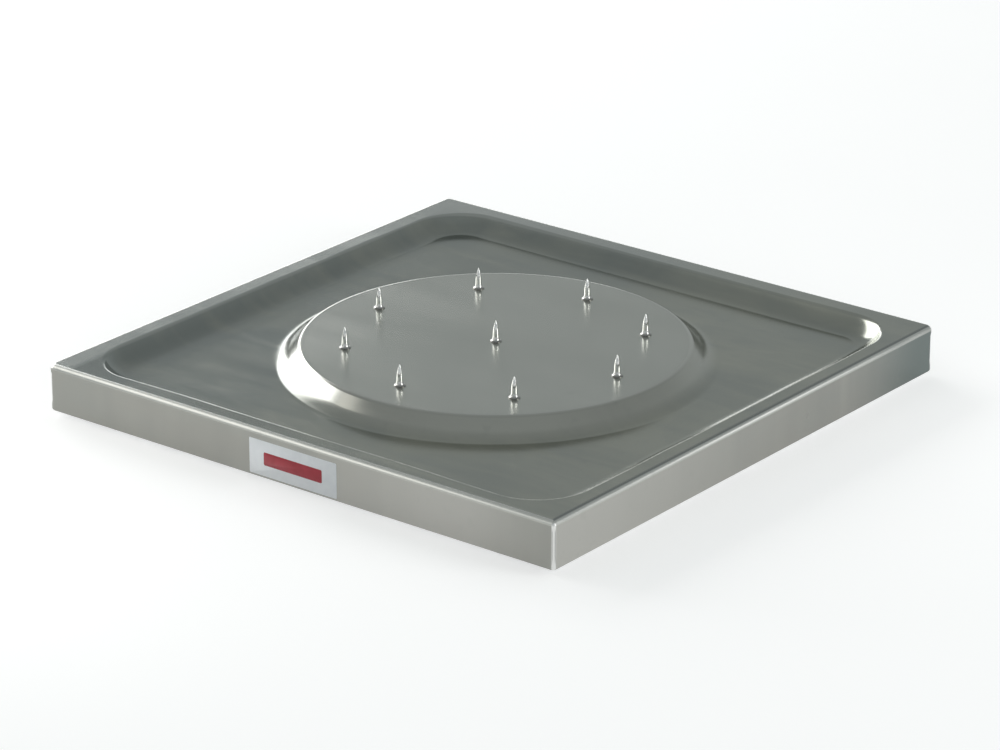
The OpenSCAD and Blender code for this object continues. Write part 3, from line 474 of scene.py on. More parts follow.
def make_materials():
    """All materials by the slot or the piece they are for."""
    return {
        "deck_steel": deck_steel(),
        "polished_steel": polished_steel(),
        "zinc": zinc_plate("zinc", (0.74, 0.75, 0.76), (0.55, 0.56, 0.58), 0.28, 0.42),
        "aluminium": aluminium(),
        "sheath": sheath(),
        "ceramic": moulded("ceramic", (0.76, 0.73, 0.66), (0.90, 0.88, 0.82), 0.25, 0.45),
        "wool": wool(),
        "copper": copper(),
        "black_plastic": moulded(
            "black_plastic", (0.012, 0.012, 0.013), (0.035, 0.035, 0.037), 0.38, 0.55),
        "rubber": moulded(
            "rubber", (0.015, 0.015, 0.015), (0.05, 0.049, 0.047), 0.7, 0.9, 400.0, 0.12),
        "rocker_red": moulded(
            "rocker_red", (0.36, 0.008, 0.006), (0.60, 0.03, 0.02), 0.12, 0.22, 500.0, 0.02,
            Transmission_Weight=0.25),
        "label_white": film("label_white", (0.91, 0.93, 0.95), (0.85, 0.87, 0.90)),
        "label_red": film("label_red", (0.42, 0.012, 0.030), (0.34, 0.010, 0.022)),
        "print_black": film("print_black", (0.02, 0.02, 0.02), (0.04, 0.04, 0.04)),
        "print_white": film("print_white", (0.86, 0.86, 0.85), (0.76, 0.76, 0.75)),
        "wire_brown": moulded(
            "wire_brown", (0.10, 0.04, 0.02), (0.20, 0.09, 0.045), 0.35, 0.5, 500.0, 0.03),
        "wire_blue": moulded(
            "wire_blue", (0.03, 0.09, 0.36), (0.06, 0.16, 0.52), 0.35, 0.5, 500.0, 0.03),
        "wire_green": striped_wire(),
    }


# Mesh helpers

class Shape:
    """Vertices and faces of one piece, gathered part by part."""

    def __init__(self):
        self.points = []
        self.faces = []

    def add(self, points, faces, matrix=Matrix.Identity(4)):
        base = len(self.points)
        self.points += [matrix @ Vector(p) for p in points]
        self.faces += [[base + i for i in face] for face in faces]
        return self


def make_piece(name, shape, material, body, sharp=38.0, replaces=()):
    mesh = bpy.data.meshes.new(name)
    mesh.from_pydata([tuple(p) for p in shape.points], [], shape.faces)
    mesh.validate()
    mesh.polygons.foreach_set("use_smooth", [True] * len(mesh.polygons))
    mesh.set_sharp_from_angle(angle=math.radians(sharp))
    mesh.materials.append(material)
    piece = bpy.data.objects.new(name, mesh)
    bpy.context.scene.collection.objects.link(piece)
    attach(piece, body)
    if replaces:
        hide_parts(*replaces)
    return piece


def rings_to_faces(count, rings, first_point=False, last_point=False):
    """Quads between rings of points, with a fan to a single point at either end."""
    faces = []
    start = 1 if first_point else 0
    total = start + count * rings
    if first_point:
        faces += [[0, start + (i + 1) % count, start + i] for i in range(count)]
    for k in range(rings - 1):
        a = start + k * count
        b = a + count
        faces += [[a + i, a + (i + 1) % count, b + (i + 1) % count, b + i] for i in range(count)]
    if last_point:
        a = total - count
        faces += [[a + i, a + (i + 1) % count, total] for i in range(count)]
    return faces


def lathe(profile, count=48, reach=None):
    """Turns (radius, height) pairs about Z. The first and last pair lie on the axis.
    reach(angle, k) may change ring k's radius with the angle."""
    inner = profile[1:-1]
    points = [(0, 0, profile[0][1])]
    for k, (radius, height) in enumerate(inner):
        for i in range(count):
            a = 2 * math.pi * i / count
            r = radius * (reach(a, k) if reach else 1)
            points.append((r * math.cos(a), r * math.sin(a), height))
    points.append((0, 0, profile[-1][1]))
    return points, rings_to_faces(count, len(inner), True, True)


# Deck

class Loops:
    """Closed rows of points round the deck, from the flange's lip inward to the middle."""

    def __init__(self):
        self.points = []
        self.normals = []
        self.weights = []

    def add(self, plan, outward, height, out, up, weight=1.0):
        """One row: plan points at a height, with a normal that leans out and up."""
        count = len(plan)
        self.points.append(np.column_stack([plan, np.full(count, height)]))
        normal = np.column_stack([outward * out, np.full(count, up)])
        self.normals.append(normal / np.linalg.norm(normal, axis=1)[:, None])
        self.weights.append(np.full(count, weight))


CORNER_STEPS = 16
HEM_STEPS = 5
FOLD_STEPS = 10
BEND_STEPS = 12
PLATEAU_RINGS = 19
CORNER_SIGNS = [(1, -1), (1, 1), (-1, 1), (-1, -1)]
FLANGE_ROWS = (FLANGE, 9 * MM, 4 * MM, HEM_RADIUS)
# Extra rows of points up the skirt, so that its waviness fades out near the hem and the fold
SKIRT_ROWS = (11 * MM, 43 * MM, 46 * MM)
# Rows of points across the rim: share of the way to the well, and how wavy the sheet is there
RIM_ROWS = ((0.08, 0.2), (0.3, 0.7), (0.65, 1.0))
FLOOR_ROWS = (0.15, 0.3, 0.45, 0.6, 0.75, 0.9)


def side_marks(extra=()):
    """Places along one side, evenly spaced, with some that have to be met exactly."""
    steps = round(2 * SIDE_REACH / SIDE_STEP)
    even = np.linspace(-SIDE_REACH, SIDE_REACH, steps + 1)
    kept = [m for m in even if all(abs(m - e) > SIDE_STEP / 3 for e in extra)]
    return np.array(sorted([*kept, *extra]))


def rounded_loop(half_x, half_y, radii, marks):
    """A rounded rectangle, anticlockwise from the front right corner, and its outward directions.
    The sides come in the order right, rear, left, front, each after its first corner."""
    points, outward = [], []
    for k, (sx, sy) in enumerate(CORNER_SIGNS):
        r = radii[k]
        centre = np.array([sx * (half_x - r), sy * (half_y - r)])
        for i in range(CORNER_STEPS + 1):
            a = math.radians(-90 + 90 * k + 90 * i / CORNER_STEPS)
            d = np.array([math.cos(a), math.sin(a)])
            points.append(centre + r * d)
            outward.append(d)
        a = math.radians(90 * k)
        d = np.array([math.cos(a), math.sin(a)])
        along = np.array([-d[1], d[0]])
        half = half_x if k % 2 == 0 else half_y
        for m in marks[k]:
            points.append(d * half + along * m)
            outward.append(d)
    return np.array(points), np.array(outward)


def bend(r1, r2, depth, slope, steps):
    """A bend down: (run, drop, tilt) from level, over the first radius, to level again."""
    slope = min(slope, math.acos(max(0.0, 1 - depth / (r1 + r2))))
    run = (r1 + r2) * math.sin(slope) + (depth - (r1 + r2) * (1 - math.cos(slope))) / math.tan(slope)
    tilts = [slope * i / steps for i in range(steps + 1)]
    first = [(r1 * math.sin(t), r1 * (1 - math.cos(t)), t) for t in tilts]
    second = [(run - r2 * math.sin(t), depth - r2 * (1 - math.cos(t)), t) for t in reversed(tilts)]
    if math.dist(first[-1][:2], second[0][:2]) < 0.1 * MM:
        second = second[1:]
    return run, first + second


WAVES = 9
WAVE_LENGTHS = (0.09, 0.26)
WAVE_HEIGHT = 0.22 * MM
# How far the wavy sheet is set back, so that it stays inside the CAD surface
SET_BACK = 0.5 * MM


def waviness(points):
    """Slight unevenness of the pressed sheet, in metres, and its gradient."""
    rng = np.random.default_rng(11)
    height = np.zeros(len(points))
    slope = np.zeros((len(points), 3))
    for _ in range(WAVES):
        length = rng.uniform(*WAVE_LENGTHS)
        heading = rng.normal(size=3) * np.array([1, 1, 0.4])
        wave = heading / np.linalg.norm(heading) * 2 * math.pi / length
        size = WAVE_HEIGHT * length / WAVE_LENGTHS[1]
        phase = points @ wave + rng.uniform(0, 2 * math.pi)
        height += size * np.sin(phase)
        slope += size * np.cos(phase)[:, None] * wave
    return height - SET_BACK, slope


# Half width and half height of each cut in the rear skirt, by the node it is made for
OPENINGS = {
    "inlet_pins": (13.7 * MM, 10.0 * MM),
    "switch_rocker": (6.6 * MM, 9.7 * MM),
    "thermostat_shaft": (6.0 * MM, 6.0 * MM),
}


def rear_openings():
    """Centre and half size, along the side and up, of the cuts in the rear skirt."""
    centre_z = middle("thermostat_shaft").z
    return [(middle(node).x, centre_z, w, h) for node, (w, h) in OPENINGS.items()]


def deck_loops(marks, rows):
    """Rows of points from the flange up the skirt, over the rim, down the well and up the plateau."""
    loops = Loops()
    corners = [TIGHT_CORNER_RADIUS, CORNER_RADIUS, CORNER_RADIUS, CORNER_RADIUS]

    def deck(inset):
        radii = [max(r - inset, 0.12 * MM) for r in corners]
        return rounded_loop(HALF_W - inset, HALF_D - inset, radii, marks)

    for inset in FLANGE_ROWS:
        loops.add(*deck(inset), SKIRT_Z, 0, -1, 0)
    for i in range(1, HEM_STEPS):
        a = math.radians(90 * i / HEM_STEPS)
        lift = HEM_RADIUS * (1 - math.cos(a))
        hem = deck(HEM_RADIUS * (1 - math.sin(a)))
        loops.add(*hem, SKIRT_Z + lift, math.sin(a), -math.cos(a), 0)
    for height in rows:
        weight = 1.0 if rows[1] < height < rows[-2] else 0.0
        loops.add(*deck(0), height, 1, 0, weight)
    for i in range(1, FOLD_STEPS + 1):
        a = math.radians(90 * i / FOLD_STEPS)
        inset = FOLD_RADIUS * (1 - math.cos(a))
        height = RIM_Z - FOLD_RADIUS * (1 - math.sin(a))
        loops.add(*deck(inset), height, math.cos(a), math.sin(a), 0)

    well_x, well_y = HALF_W - RIM, HALF_D - RIM
    rim_plan, rim_out = deck(FOLD_RADIUS)
    run, wall = bend(WALL_TOP, WALL_FOOT, WELL_DEPTH, math.pi / 2, BEND_STEPS)

    def well(inset):
        return rounded_loop(well_x - inset, well_y - inset, [WELL_CORNER - inset] * 4, marks)

    well_plan, _ = well(0)
    for share, weight in RIM_ROWS:
        loops.add(rim_plan * (1 - share) + well_plan * share, rim_out, RIM_Z, 0, 1, weight)
    for across, drop, tilt in wall:
        loops.add(*well(across), RIM_Z - drop, -math.sin(tilt), math.cos(tilt))

    floor_plan, _ = well(run)
    angles = np.arctan2(floor_plan[:, 1], floor_plan[:, 0])
    spokes = np.column_stack([np.cos(angles), np.sin(angles)])
    height = WELL_DEPTH + PLATEAU_RISE
    side_run, side = bend(PLATEAU_EDGE, PLATEAU_FOOT, height, PLATEAU_SLOPE, BEND_STEPS)
    foot_plan = spokes * (PLATEAU_RADIUS + side_run)
    for share in FLOOR_ROWS:
        plan = floor_plan * (1 - share) + foot_plan * share
        loops.add(plan, spokes, RIM_Z - WELL_DEPTH, 0, 1)
    for across, drop, tilt in reversed(side):
        plan = spokes * (PLATEAU_RADIUS + across)
        loops.add(plan, spokes, PLATEAU_Z - drop, math.sin(tilt), math.cos(tilt))
    for i in range(1, PLATEAU_RINGS):
        loops.add(spokes * PLATEAU_RADIUS * (1 - i / PLATEAU_RINGS), spokes, PLATEAU_Z, 0, 1)
    return loops


def deck_surfaces(loops):
    """Outer points, their normals and the inner points, with the waviness of the pressed sheet.
    The skirts and the top of the plateau keep their place, because other pieces sit on them."""
    points = np.concatenate(loops.points)
    normals = np.concatenate(loops.normals)
    weights = np.concatenate(loops.weights)[:, None]
    height, slope = waviness(points)
    across = slope - (slope * normals).sum(1)[:, None] * normals
    normals = normals - across * weights
    normals /= np.linalg.norm(normals, axis=1)[:, None]

    radius = np.hypot(points[:, 0], points[:, 1])
    share = np.clip((radius - PLATEAU_RADIUS) / (PLATEAU_FOOT + PLATEAU_EDGE), 0, 1)
    share = share * share * (3 - 2 * share)
    from_side = np.maximum(abs(points[:, 0]) - HALF_W, abs(points[:, 1]) - HALF_D)
    share = np.where(from_side > -0.1 * MM, 0, share)
    outer = points + normals * (height * share)[:, None] * weights
    outer = np.concatenate([outer, [[0, 0, PLATEAU_Z]]])
    normals = np.concatenate([normals, [[0, 0, 1.0]]])
    return outer, normals, outer - normals * SHEET


def deck_normals(mesh, normals, first_lip):
    """Smooth normals on both skins of the sheet and flat ones on its cut edges, per face corner."""
    both = np.concatenate([normals, -normals])
    found = []
    for polygon in mesh.polygons:
        if polygon.index >= first_lip:
            found += [tuple(polygon.normal)] * polygon.loop_total
        else:
            found += [tuple(both[v]) for v in polygon.vertices]
    return found


def make_deck(material):
    holes = rear_openings()
    extra = sorted(-x + s * w for x, _, w, _ in holes for s in (-1, 1))
    marks = [side_marks(), side_marks(extra), side_marks(), side_marks()]
    edges = {z + s * h for _, z, _, h in holes for s in (-1, 1)}
    rows = sorted({SKIRT_Z + HEM_RADIUS, RIM_Z - FOLD_RADIUS, *SKIRT_ROWS, *edges})
    loops = deck_loops(marks, rows)
    outer, normals, inner = deck_surfaces(loops)

    def in_hole(corners):
        c = outer[corners].mean(0)
        on_rear = c[1] > HALF_D - 0.1 * MM
        return on_rear and any(abs(c[0] - x) < w and abs(c[2] - z) < h for x, z, w, h in holes)

    whole = rings_to_faces(len(loops.points[0]), len(loops.points), last_point=True)
    skin = [face for face in whole if not in_hole(face)]
    total = len(outer)
    back = [[total + i for i in reversed(face)] for face in skin]
    used = {(a, b) for face in skin for a, b in zip(face, face[1:] + face[:1])}
    open_edges = [(a, b) for a, b in used if (b, a) not in used]
    lips = [[b, a, total + a, total + b] for a, b in sorted(open_edges)]

    mesh = bpy.data.meshes.new("pressed_deck")
    mesh.from_pydata([tuple(p) for p in np.concatenate([outer, inner])], [], skin + back + lips)
    mesh.polygons.foreach_set("use_smooth", [True] * len(mesh.polygons))
    sharp = mesh.attributes.new("sharp_edge", "BOOLEAN", "EDGE")
    border = {tuple(sorted(e)) for e in open_edges}
    border |= {(a + total, b + total) for a, b in border}
    keys = [tuple(sorted(e.vertices)) in border for e in mesh.edges]
    sharp.data.foreach_set("value", keys)
    mesh.normals_split_custom_set(deck_normals(mesh, normals, len(skin) + len(back)))
    mesh.materials.append(material)
    piece = bpy.data.objects.new("pressed_deck", mesh)
    bpy.context.scene.collection.objects.link(piece)
    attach(piece, "station")
    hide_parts("top_deck")


# Spikes

FLARE_STEPS = 12
POINT_STEPS = 14
FOOT_EDGE = 0.5 * MM
FOOT_HEIGHT = 6 * MM
STEM_LENGTH = 0.5 * MM
STEM_RADIUS = 3 * MM
STUD_RADIUS = 3 * MM
STUD_CHAMFER = 0.4 * MM
# How much shorter than the CAD's the point is, because it isn't perfectly sharp
BLUNT = 0.05 * MM


def spike_profile(low, high):
    """Stud, flared foot, stem and pointed end, from the CAD spike's box."""
    foot = (high.x - low.x) / 2
    tip = high.z - BLUNT
    base = PLATEAU_Z
    chamfer = STUD_RADIUS - STUD_CHAMFER
    stud = [(0, low.z), (chamfer, low.z), (STUD_RADIUS, low.z + STUD_CHAMFER), (STUD_RADIUS, base)]
    edge = [(foot - 0.25 * MM, base), (foot, base + 0.2 * MM), (foot, base + FOOT_EDGE)]
    flare = []
    for i in range(1, FLARE_STEPS + 1):
        a = math.pi / 2 * i / FLARE_STEPS
        flare.append((foot - (foot - STEM_RADIUS) * math.sin(a),
                      base + FOOT_EDGE + (FOOT_HEIGHT - FOOT_EDGE) * (1 - math.cos(a))))
    start = base + FOOT_HEIGHT + STEM_LENGTH
    length = high.z - start
    sweep = (STEM_RADIUS ** 2 + length ** 2) / (2 * STEM_RADIUS)
    point = []
    for i in range(1, POINT_STEPS):
        h = length * i / POINT_STEPS
        point.append((math.sqrt(sweep ** 2 - h ** 2) - sweep + STEM_RADIUS, start + h))
    return [*stud, *edge, *flare, (STEM_RADIUS, start), *point, (0, tip)]


def make_spikes(material):
    for node in ["spike_centre", *(f"spike_{i}" for i in range(1, 9))]:
        low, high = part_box(node)
        centre = (low + high) / 2
        points, faces = lathe(spike_profile(low, high))
        shape = Shape().add(points, faces, Matrix.Translation((centre.x, centre.y, 0)))
        make_piece(f"turned_{node}", shape, material, "station", 45, (node,))


# Label

FILM = 0.16 * MM
PRINT = 0.1 * MM
LABEL_CORNER = 1.2 * MM
BAR_CORNER = 1.5 * MM
BAR_SIZE = (70 * MM, 13 * MM)


def plate(half_w, half_h, radius, thickness, steps=6, edge=0.04 * MM):
    """A thin plate in the XZ plane whose front faces -Y, with rounded corners and a soft edge."""
    outline = []
    for k, (sx, sz) in enumerate(CORNER_SIGNS):
        for i in range(steps + 1):
            a = math.radians(-90 + 90 * k + 90 * i / steps)
            corner = sx * (half_w - radius), sz * (half_h - radius)
            outline.append((*corner, math.cos(a), math.sin(a)))
    points = []
    for inset, depth in ((0, 0), (0, thickness - edge), (edge, thickness)):
        r = radius - inset
        points += [(cx + r * ca, -depth, cz + r * sa) for cx, cz, ca, sa in outline]
    count = len(outline)
    faces = rings_to_faces(count, 3)
    faces.append(list(reversed(range(count))))
    faces.append([2 * count + i for i in range(count)])
    return points, faces


def make_label(materials):
    low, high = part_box("front_label")
    centre = (low + high) / 2
    half_w, half_h = (high.x - low.x) / 2, (high.z - low.z) / 2
    back = Matrix.Translation((centre.x, -HALF_D, centre.z))
    shape = Shape().add(*plate(half_w, half_h, LABEL_CORNER, FILM), back)
    make_piece("label_plate", shape, materials["label_white"], "station", 50,
               ("front_label",))
    front = Matrix.Translation((centre.x, -HALF_D - FILM, centre.z))
    shape = Shape().add(*plate(BAR_SIZE[0] / 2, BAR_SIZE[1] / 2, BAR_CORNER, PRINT), front)
    make_piece("label_bar", shape, materials["label_red"], "station", 50)


# Fasteners that show

# Radius of the head and of the shank, by node
SCREWS = {
    "base_screws": (3.7 * MM, 2 * MM),
    "foot_screws": (4.75 * MM, 2.5 * MM),
    "inlet_screws": (2.8 * MM, 1.5 * MM),
}
FOOT_SCREW_HEAD = 2.2 * MM
INLET_SCREW_HEAD = 1.8 * MM


def socket_screw(head_r, shank_r, head_h, length, count=36):
    """A domed head below z = 0 with a six-sided socket, and a shank above it."""
    socket_r = head_r * 0.5
    depth = head_h * 0.6
    dome = [(head_r, 0), (head_r, -head_h * 0.3)]
    for i in range(1, 6):
        a = math.pi / 2 * i / 6
        dome.append((socket_r * 1.25 + (head_r - socket_r * 1.25) * math.cos(a),
                     -head_h * 0.3 - head_h * 0.7 * math.sin(a)))
    socket = [(socket_r * 1.2, -head_h), (socket_r, -head_h), (socket_r, -head_h + depth)]
    profile = [(0, length), (shank_r * 0.8, length), (shank_r, length - shank_r * 0.3), (shank_r, 0)]
    profile += [*dome, *socket, (0, -head_h + depth)]
    # The two rows round the socket's mouth are six-sided, counted without the point on the axis
    six_sided = {len(profile) - 5, len(profile) - 6}

    def reach(angle, k):
        if k not in six_sided:
            return 1
        turn = (angle + math.pi / 6) % (math.pi / 3) - math.pi / 6
        return math.cos(math.pi / 6) / math.cos(turn)

    points, faces = lathe(profile, count, reach)
    return points, [list(reversed(face)) for face in faces]


def add_screws(name, node, material, head_h, length, matrices):
    """One piece with a node's screws, each placed by a matrix with the seat of its head at 0."""
    head_r, shank_r = SCREWS[node]
    shape = Shape()
    for matrix in matrices:
        shape.add(*socket_screw(head_r, shank_r, head_h, length), matrix)
    make_piece(name, shape, material, "station", 40, (node,))


def make_screws(material):
    low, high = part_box("base_screws")
    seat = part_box("base_cover")[0].z
    head_r = SCREWS["base_screws"][0]
    places = [(sx * (high.x - head_r), sy * HALF_D / 2) for sx in (-1, 1) for sy in (-1, 1)]
    places += [(sx * HALF_W / 2, sy * (high.y - head_r)) for sx in (-1, 1) for sy in (-1, 1)]
    matrices = [Matrix.Translation((x, y, seat)) for x, y in places]
    add_screws("base_cover_screws", "base_screws", material, seat - low.z, high.z - seat, matrices)

    low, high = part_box("foot_screws")
    seat = low.z + FOOT_SCREW_HEAD
    head_r = SCREWS["foot_screws"][0]
    places = [(sx * (high.x - head_r), sy * (high.y - head_r)) for sx in (-1, 1) for sy in (-1, 1)]
    matrices = [Matrix.Translation((x, y, seat)) for x, y in places]
    add_screws("feet_screws", "foot_screws", material, seat - low.z, high.z - seat, matrices)

    low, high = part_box("inlet_screws")
    seat = high.y - INLET_SCREW_HEAD
    head_r = SCREWS["inlet_screws"][0]
    facing = Matrix.Rotation(math.radians(90), 4, "X")
    matrices = [Matrix.Translation((x, seat, (low.z + high.z) / 2)) @ facing
                for x in (low.x + head_r, high.x - head_r)]
    add_screws("inlet_fixing_screws", "inlet_screws", material, high.y - seat, seat - low.y, matrices)


# Marks on the rear controls

def rear_matrix(x, z, y, turn=0.0):
    """Local X to the right as seen from behind, local Y up, local Z outward."""
    facing = Matrix.Rotation(math.radians(180), 4, "Z") @ Matrix.Rotation(math.radians(90), 4, "X")
    return Matrix.Translation((x, y, z)) @ facing @ Matrix.Rotation(math.radians(turn), 4, "Z")


def bar(half_w, half_h, depth):
    """A slim bar on the local XY plane with bevelled upper edges."""
    e = min(half_w, half_h) * 0.2
    rows = [(0, 0), (0, depth * 0.7), (e, depth)]
    points = []
    for inset, height in rows:
        w, h = half_w - inset, half_h - inset
        points += [(w, -h, height), (w, h, height), (-w, h, height), (-w, -h, height)]
    return points, [*rings_to_faces(4, 3), [3, 2, 1, 0], [8, 9, 10, 11]]


def ring(radius, width, depth, count=32):
    """A flat ring on the local XY plane."""
    angles = [2 * math.pi * i / count for i in range(count)]
    circle = [(math.cos(a), math.sin(a)) for a in angles]
    points = []
    for r, height in ((radius, 0), (radius, depth), (radius - width, depth), (radius - width, 0)):
        points += [(r * x, r * y, height) for x, y in circle]
    faces = rings_to_faces(count, 4)
    faces += [[3 * count + i, 3 * count + (i + 1) % count, (i + 1) % count, i] for i in range(count)]
    return points, faces


# Angles on the dial, seen from behind and anticlockwise from the right
DIAL_ZERO = 225.0
DIAL_SWEEP = 270.0
DIAL_STEPS = 6
TICKS_PER_STEP = 4
# Length and half width of the ticks at the numbers and between them
LONG_TICK = (1.9 * MM, 0.35 * MM)
SHORT_TICK = (1.0 * MM, 0.2 * MM)
TICK_INSET = 0.5 * MM
NUMERAL_DISTANCE = 2.6 * MM
NUMERAL_HEIGHT = 4.6 * MM
PRINT_DEPTH = 0.06 * MM


def dial_angle(step):
    """Angle of a dial step: the dial starts at the lower left and goes clockwise."""
    return DIAL_ZERO - DIAL_SWEEP * step / DIAL_STEPS


def make_dial_marks(materials):
    centre = middle("dial_plate")
    low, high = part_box("dial_plate")
    plate_r = (high.x - low.x) / 2
    shape = Shape()
    for i in range(TICKS_PER_STEP * DIAL_STEPS + 1):
        length, half_width = SHORT_TICK if i % TICKS_PER_STEP else LONG_TICK
        turned = rear_matrix(centre.x, centre.z, high.y, dial_angle(i / TICKS_PER_STEP))
        offset = Matrix.Translation((plate_r - TICK_INSET - length / 2, 0, 0))
        shape.add(*bar(length / 2, half_width, PRINT_DEPTH), turned @ offset)
    make_piece("dial_ticks", shape, materials["print_black"], "station", 40)

    numeral_r = plate_r + NUMERAL_DISTANCE
    for step in range(DIAL_STEPS + 1):
        text = bpy.data.curves.new(f"dial_number_{step}", "FONT")
        text.body = str(step)
        text.align_x = "CENTER"
        text.align_y = "CENTER"
        text.size = NUMERAL_HEIGHT
        text.extrude = PRINT_DEPTH / 2
        text.materials.append(materials["print_black"])
        piece = bpy.data.objects.new(f"dial_number_{step}", text)
        angle = math.radians(dial_angle(step))
        across, up = numeral_r * math.cos(angle), numeral_r * math.sin(angle)
        piece.matrix_world = rear_matrix(centre.x - across, centre.z + up, HALF_D)
        bpy.context.scene.collection.objects.link(piece)
        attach(piece, "station")


# The rocker: half its height, how far its ends stand out from the pivot, and how far its
# middle line lies below them
ROCKER_HALF = 7.2 * MM
ROCKER_RISE = 4.5 * MM
ROCKER_DIP = 1.1 * MM
MARK_DEPTH = 0.15 * MM
MARK_SUNK = 0.05 * MM


def make_rocker_marks(materials):
    """A bar on the upper half of the rocker and a ring on the lower half."""
    joint = next(j for j in frame["joints"] if j["child"] == "switch_rocker")
    pivot = Vector(joint["pos_m"])
    tilt = math.radians(joint["range_deg"][1] / 2)
    tilted = rear_matrix(pivot.x, pivot.z, pivot.y) @ Matrix.Rotation(tilt, 4, "X")
    slope = math.atan2(ROCKER_DIP, ROCKER_HALF)
    for name, sign, mark in (("rocker_bar", 1, bar(0.35 * MM, 1.6 * MM, MARK_DEPTH)),
                             ("rocker_ring", -1, ring(1.5 * MM, 0.5 * MM, MARK_DEPTH))):
        height = ROCKER_RISE - ROCKER_DIP / 2 - MARK_SUNK
        local = Matrix.Translation((0, sign * ROCKER_HALF / 2, height))
        local = local @ Matrix.Rotation(sign * slope, 4, "X")
        make_piece(name, Shape().add(*mark, tilted @ local), materials["print_white"],
                   "switch_rocker", 40)


# Turn from straight up, where the CAD knob's groove points, to the dial's zero
ZERO_TURN = DIAL_ZERO - 90


def make_knob(materials):
    """The knob, turned so that at rest its groove points at the dial's zero."""
    node = frame["nodes"]["thermostat_knob"]
    centre = middle("thermostat_knob")
    turn = Matrix.Rotation(math.radians(ZERO_TURN), 4, "Y")
    about = Matrix.Translation(centre) @ turn @ Matrix.Translation(-centre)
    mesh = node.data.copy()
    mesh.transform(about @ node.matrix_world)
    mesh.materials.clear()
    mesh.materials.append(materials["black_plastic"])
    piece = bpy.data.objects.new("set_knob", mesh)
    bpy.context.scene.collection.objects.link(piece)
    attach(piece, "thermostat_knob")
    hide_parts("thermostat_knob")


GROOVE_DEPTH = 0.6 * MM
# The pointer's start from the knob's centre, and its end from the knob's widest part
POINTER_START = 4.2 * MM
POINTER_INSET = 3 * MM


def make_pointer(materials):
    """The white line in the knob's groove."""
    low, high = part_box("thermostat_knob")
    centre = (low + high) / 2
    end = (high.x - low.x) / 2 - POINTER_INSET
    local = Matrix.Translation((0, (POINTER_START + end) / 2, -GROOVE_DEPTH))
    line = bar(0.5 * MM, (end - POINTER_START) / 2, 0.45 * MM)
    shape = Shape().add(*line, rear_matrix(centre.x, centre.z, high.y, ZERO_TURN) @ local)
    make_piece("knob_pointer", shape, materials["print_white"],
               "thermostat_knob", 40)


# Stage

FLOOR_GLOW = 0.45
FLOOR_HALF = 40.0


def make_floor():
    """A pale matt floor that glows a little where the camera or a mirror sees it."""
    material, tree, shader = new_material("floor", Roughness=1.0, Specular_IOR_Level=0.0)
    mottle = noise(tree, place(tree), 3, 4)
    wire_up(tree, shader, blend_colour(tree, mottle, (0.80, 0.80, 0.79), (0.83, 0.83, 0.82)))
    path = add(tree, "ShaderNodeLightPath").outputs
    seen = maths(tree, "MAXIMUM", path["Is Camera Ray"], path["Is Glossy Ray"])
    seen = maths(tree, "MAXIMUM", seen, path["Is Transmission Ray"])
    glow = times(tree, seen, FLOOR_GLOW)
    shader.inputs["Emission Color"].default_value = (1, 1, 1, 1)
    tree.links.new(glow, shader.inputs["Emission Strength"])
    mesh = bpy.data.meshes.new("floor")
    corners = [(sx * FLOOR_HALF, sy * FLOOR_HALF, 0) for sx, sy in CORNER_SIGNS]
    mesh.from_pydata(corners, [], [[0, 1, 2, 3]])
    mesh.materials.append(material)
    floor = bpy.data.objects.new("floor", mesh)
    bpy.context.scene.collection.objects.link(floor)


# Brightness of the studio by the sine of the height above the horizon
SKY = [(0.00, 0.42), (0.30, 0.42), (0.50, 0.36), (0.75, 0.32), (1.00, 0.33)]
CAMERA_SIDE = (0.62, -0.79, 0.0)
CAMERA_SIDE_LIFT = 1.35
SKY_TINT = (0.935, 1.0, 1.01)


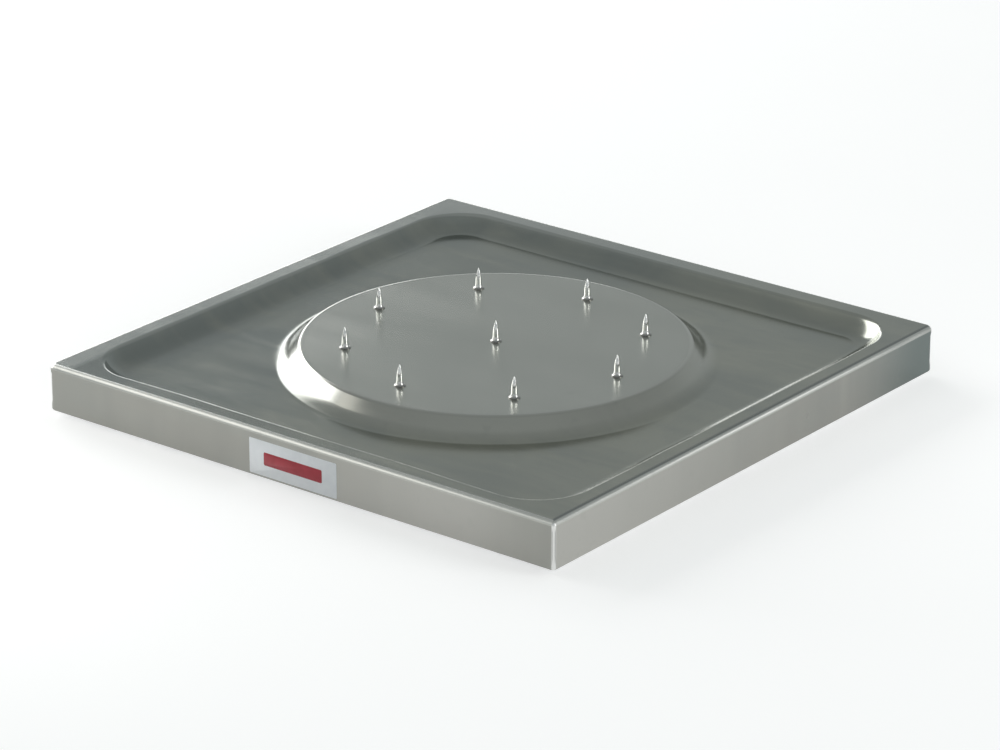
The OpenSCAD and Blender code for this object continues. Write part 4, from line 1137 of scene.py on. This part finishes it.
def make_world():
    """An even studio, a little darker overhead at the back and lighter on the camera's side."""
    world = bpy.data.worlds.new("studio")
    world.use_nodes = True
    tree = world.node_tree
    towards = add(tree, "ShaderNodeTexCoord").outputs["Generated"]
    height = split(tree, towards)[2]
    ramp = add(tree, "ShaderNodeValToRGB", {"Fac": height})
    elements = ramp.color_ramp.elements
    while len(elements) < len(SKY):
        elements.new(0.5)
    for element, (position, level) in zip(elements, SKY):
        element.position = position
        element.color = (*(level * tint for tint in SKY_TINT), 1)
    side = add(tree, "ShaderNodeVectorMath", {0: towards, 1: CAMERA_SIDE}, operation="DOT_PRODUCT")
    inputs = {
        0: ramp.outputs["Color"],
        "Scale": spread(tree, side.outputs["Value"], 0.0, 1.0, 1.0, CAMERA_SIDE_LIFT),
    }
    light = add(tree, "ShaderNodeVectorMath", inputs, operation="SCALE")
    tree.links.new(light.outputs[0], tree.nodes["Background"].inputs["Color"])
    bpy.context.scene.world = world


def softbox(name, azimuth, elevation, spread_across, spread_up, radiance,
            tint=(1, 1, 1), distance=3.5, aim=(0, 0, 0.05)):
    """A rectangular lamp facing its aim, as wide and high as the angles it fills, in degrees.
    Its power follows from the brightness of its face."""
    width = 2 * distance * math.tan(math.radians(spread_across / 2))
    height = 2 * distance * math.tan(math.radians(spread_up / 2))
    data = bpy.data.lights.new(name, "AREA")
    data.shape = "RECTANGLE"
    data.size = width
    data.size_y = height
    data.energy = radiance * math.pi * width * height
    data.color = tint
    lamp = bpy.data.objects.new(name, data)
    towards = direction(azimuth, elevation)
    lamp.location = Vector(aim) + towards * distance
    lamp.rotation_mode = "QUATERNION"
    lamp.rotation_quaternion = towards.to_track_quat("Z", "Y")
    lamp.visible_camera = False
    bpy.context.scene.collection.objects.link(lamp)


def make_lights():
    """Each lamp has its azimuth, elevation, width and height in degrees, then its brightness."""
    softbox("left_window", 176, 19, 58, 34, 3.0)
    softbox("window_foot", 140, 7, 16, 12, 2.6)
    softbox("horizon_strip", 127, 5, 10, 7, 1.4)
    softbox("right_window", 14, 20, 24, 26, 4.0)
    softbox("front_card", 226, 34, 60, 34, 0.8, (1.0, 0.97, 0.92), 0.5, (-0.05, -0.3, 0.05))
    softbox("right_card", 52, 19, 26, 18, 1.0, (1.0, 1.0, 1.0), 0.5, (0.305, 0.0, 0.05))


def dress_cad_nodes(materials):
    for name, piece in frame["nodes"].items():
        piece.data.materials.clear()
        piece.data.materials.append(materials[SLOTS[name]])


make_camera()
materials = make_materials()
dress_cad_nodes(materials)
make_deck(materials["deck_steel"])
make_spikes(materials["polished_steel"])
make_label(materials)
make_screws(materials["zinc"])
make_dial_marks(materials)
make_rocker_marks(materials)
make_knob(materials)
make_pointer(materials)
make_floor()
make_world()
make_lights()
bpy.context.scene.view_settings.view_transform = "Standard"
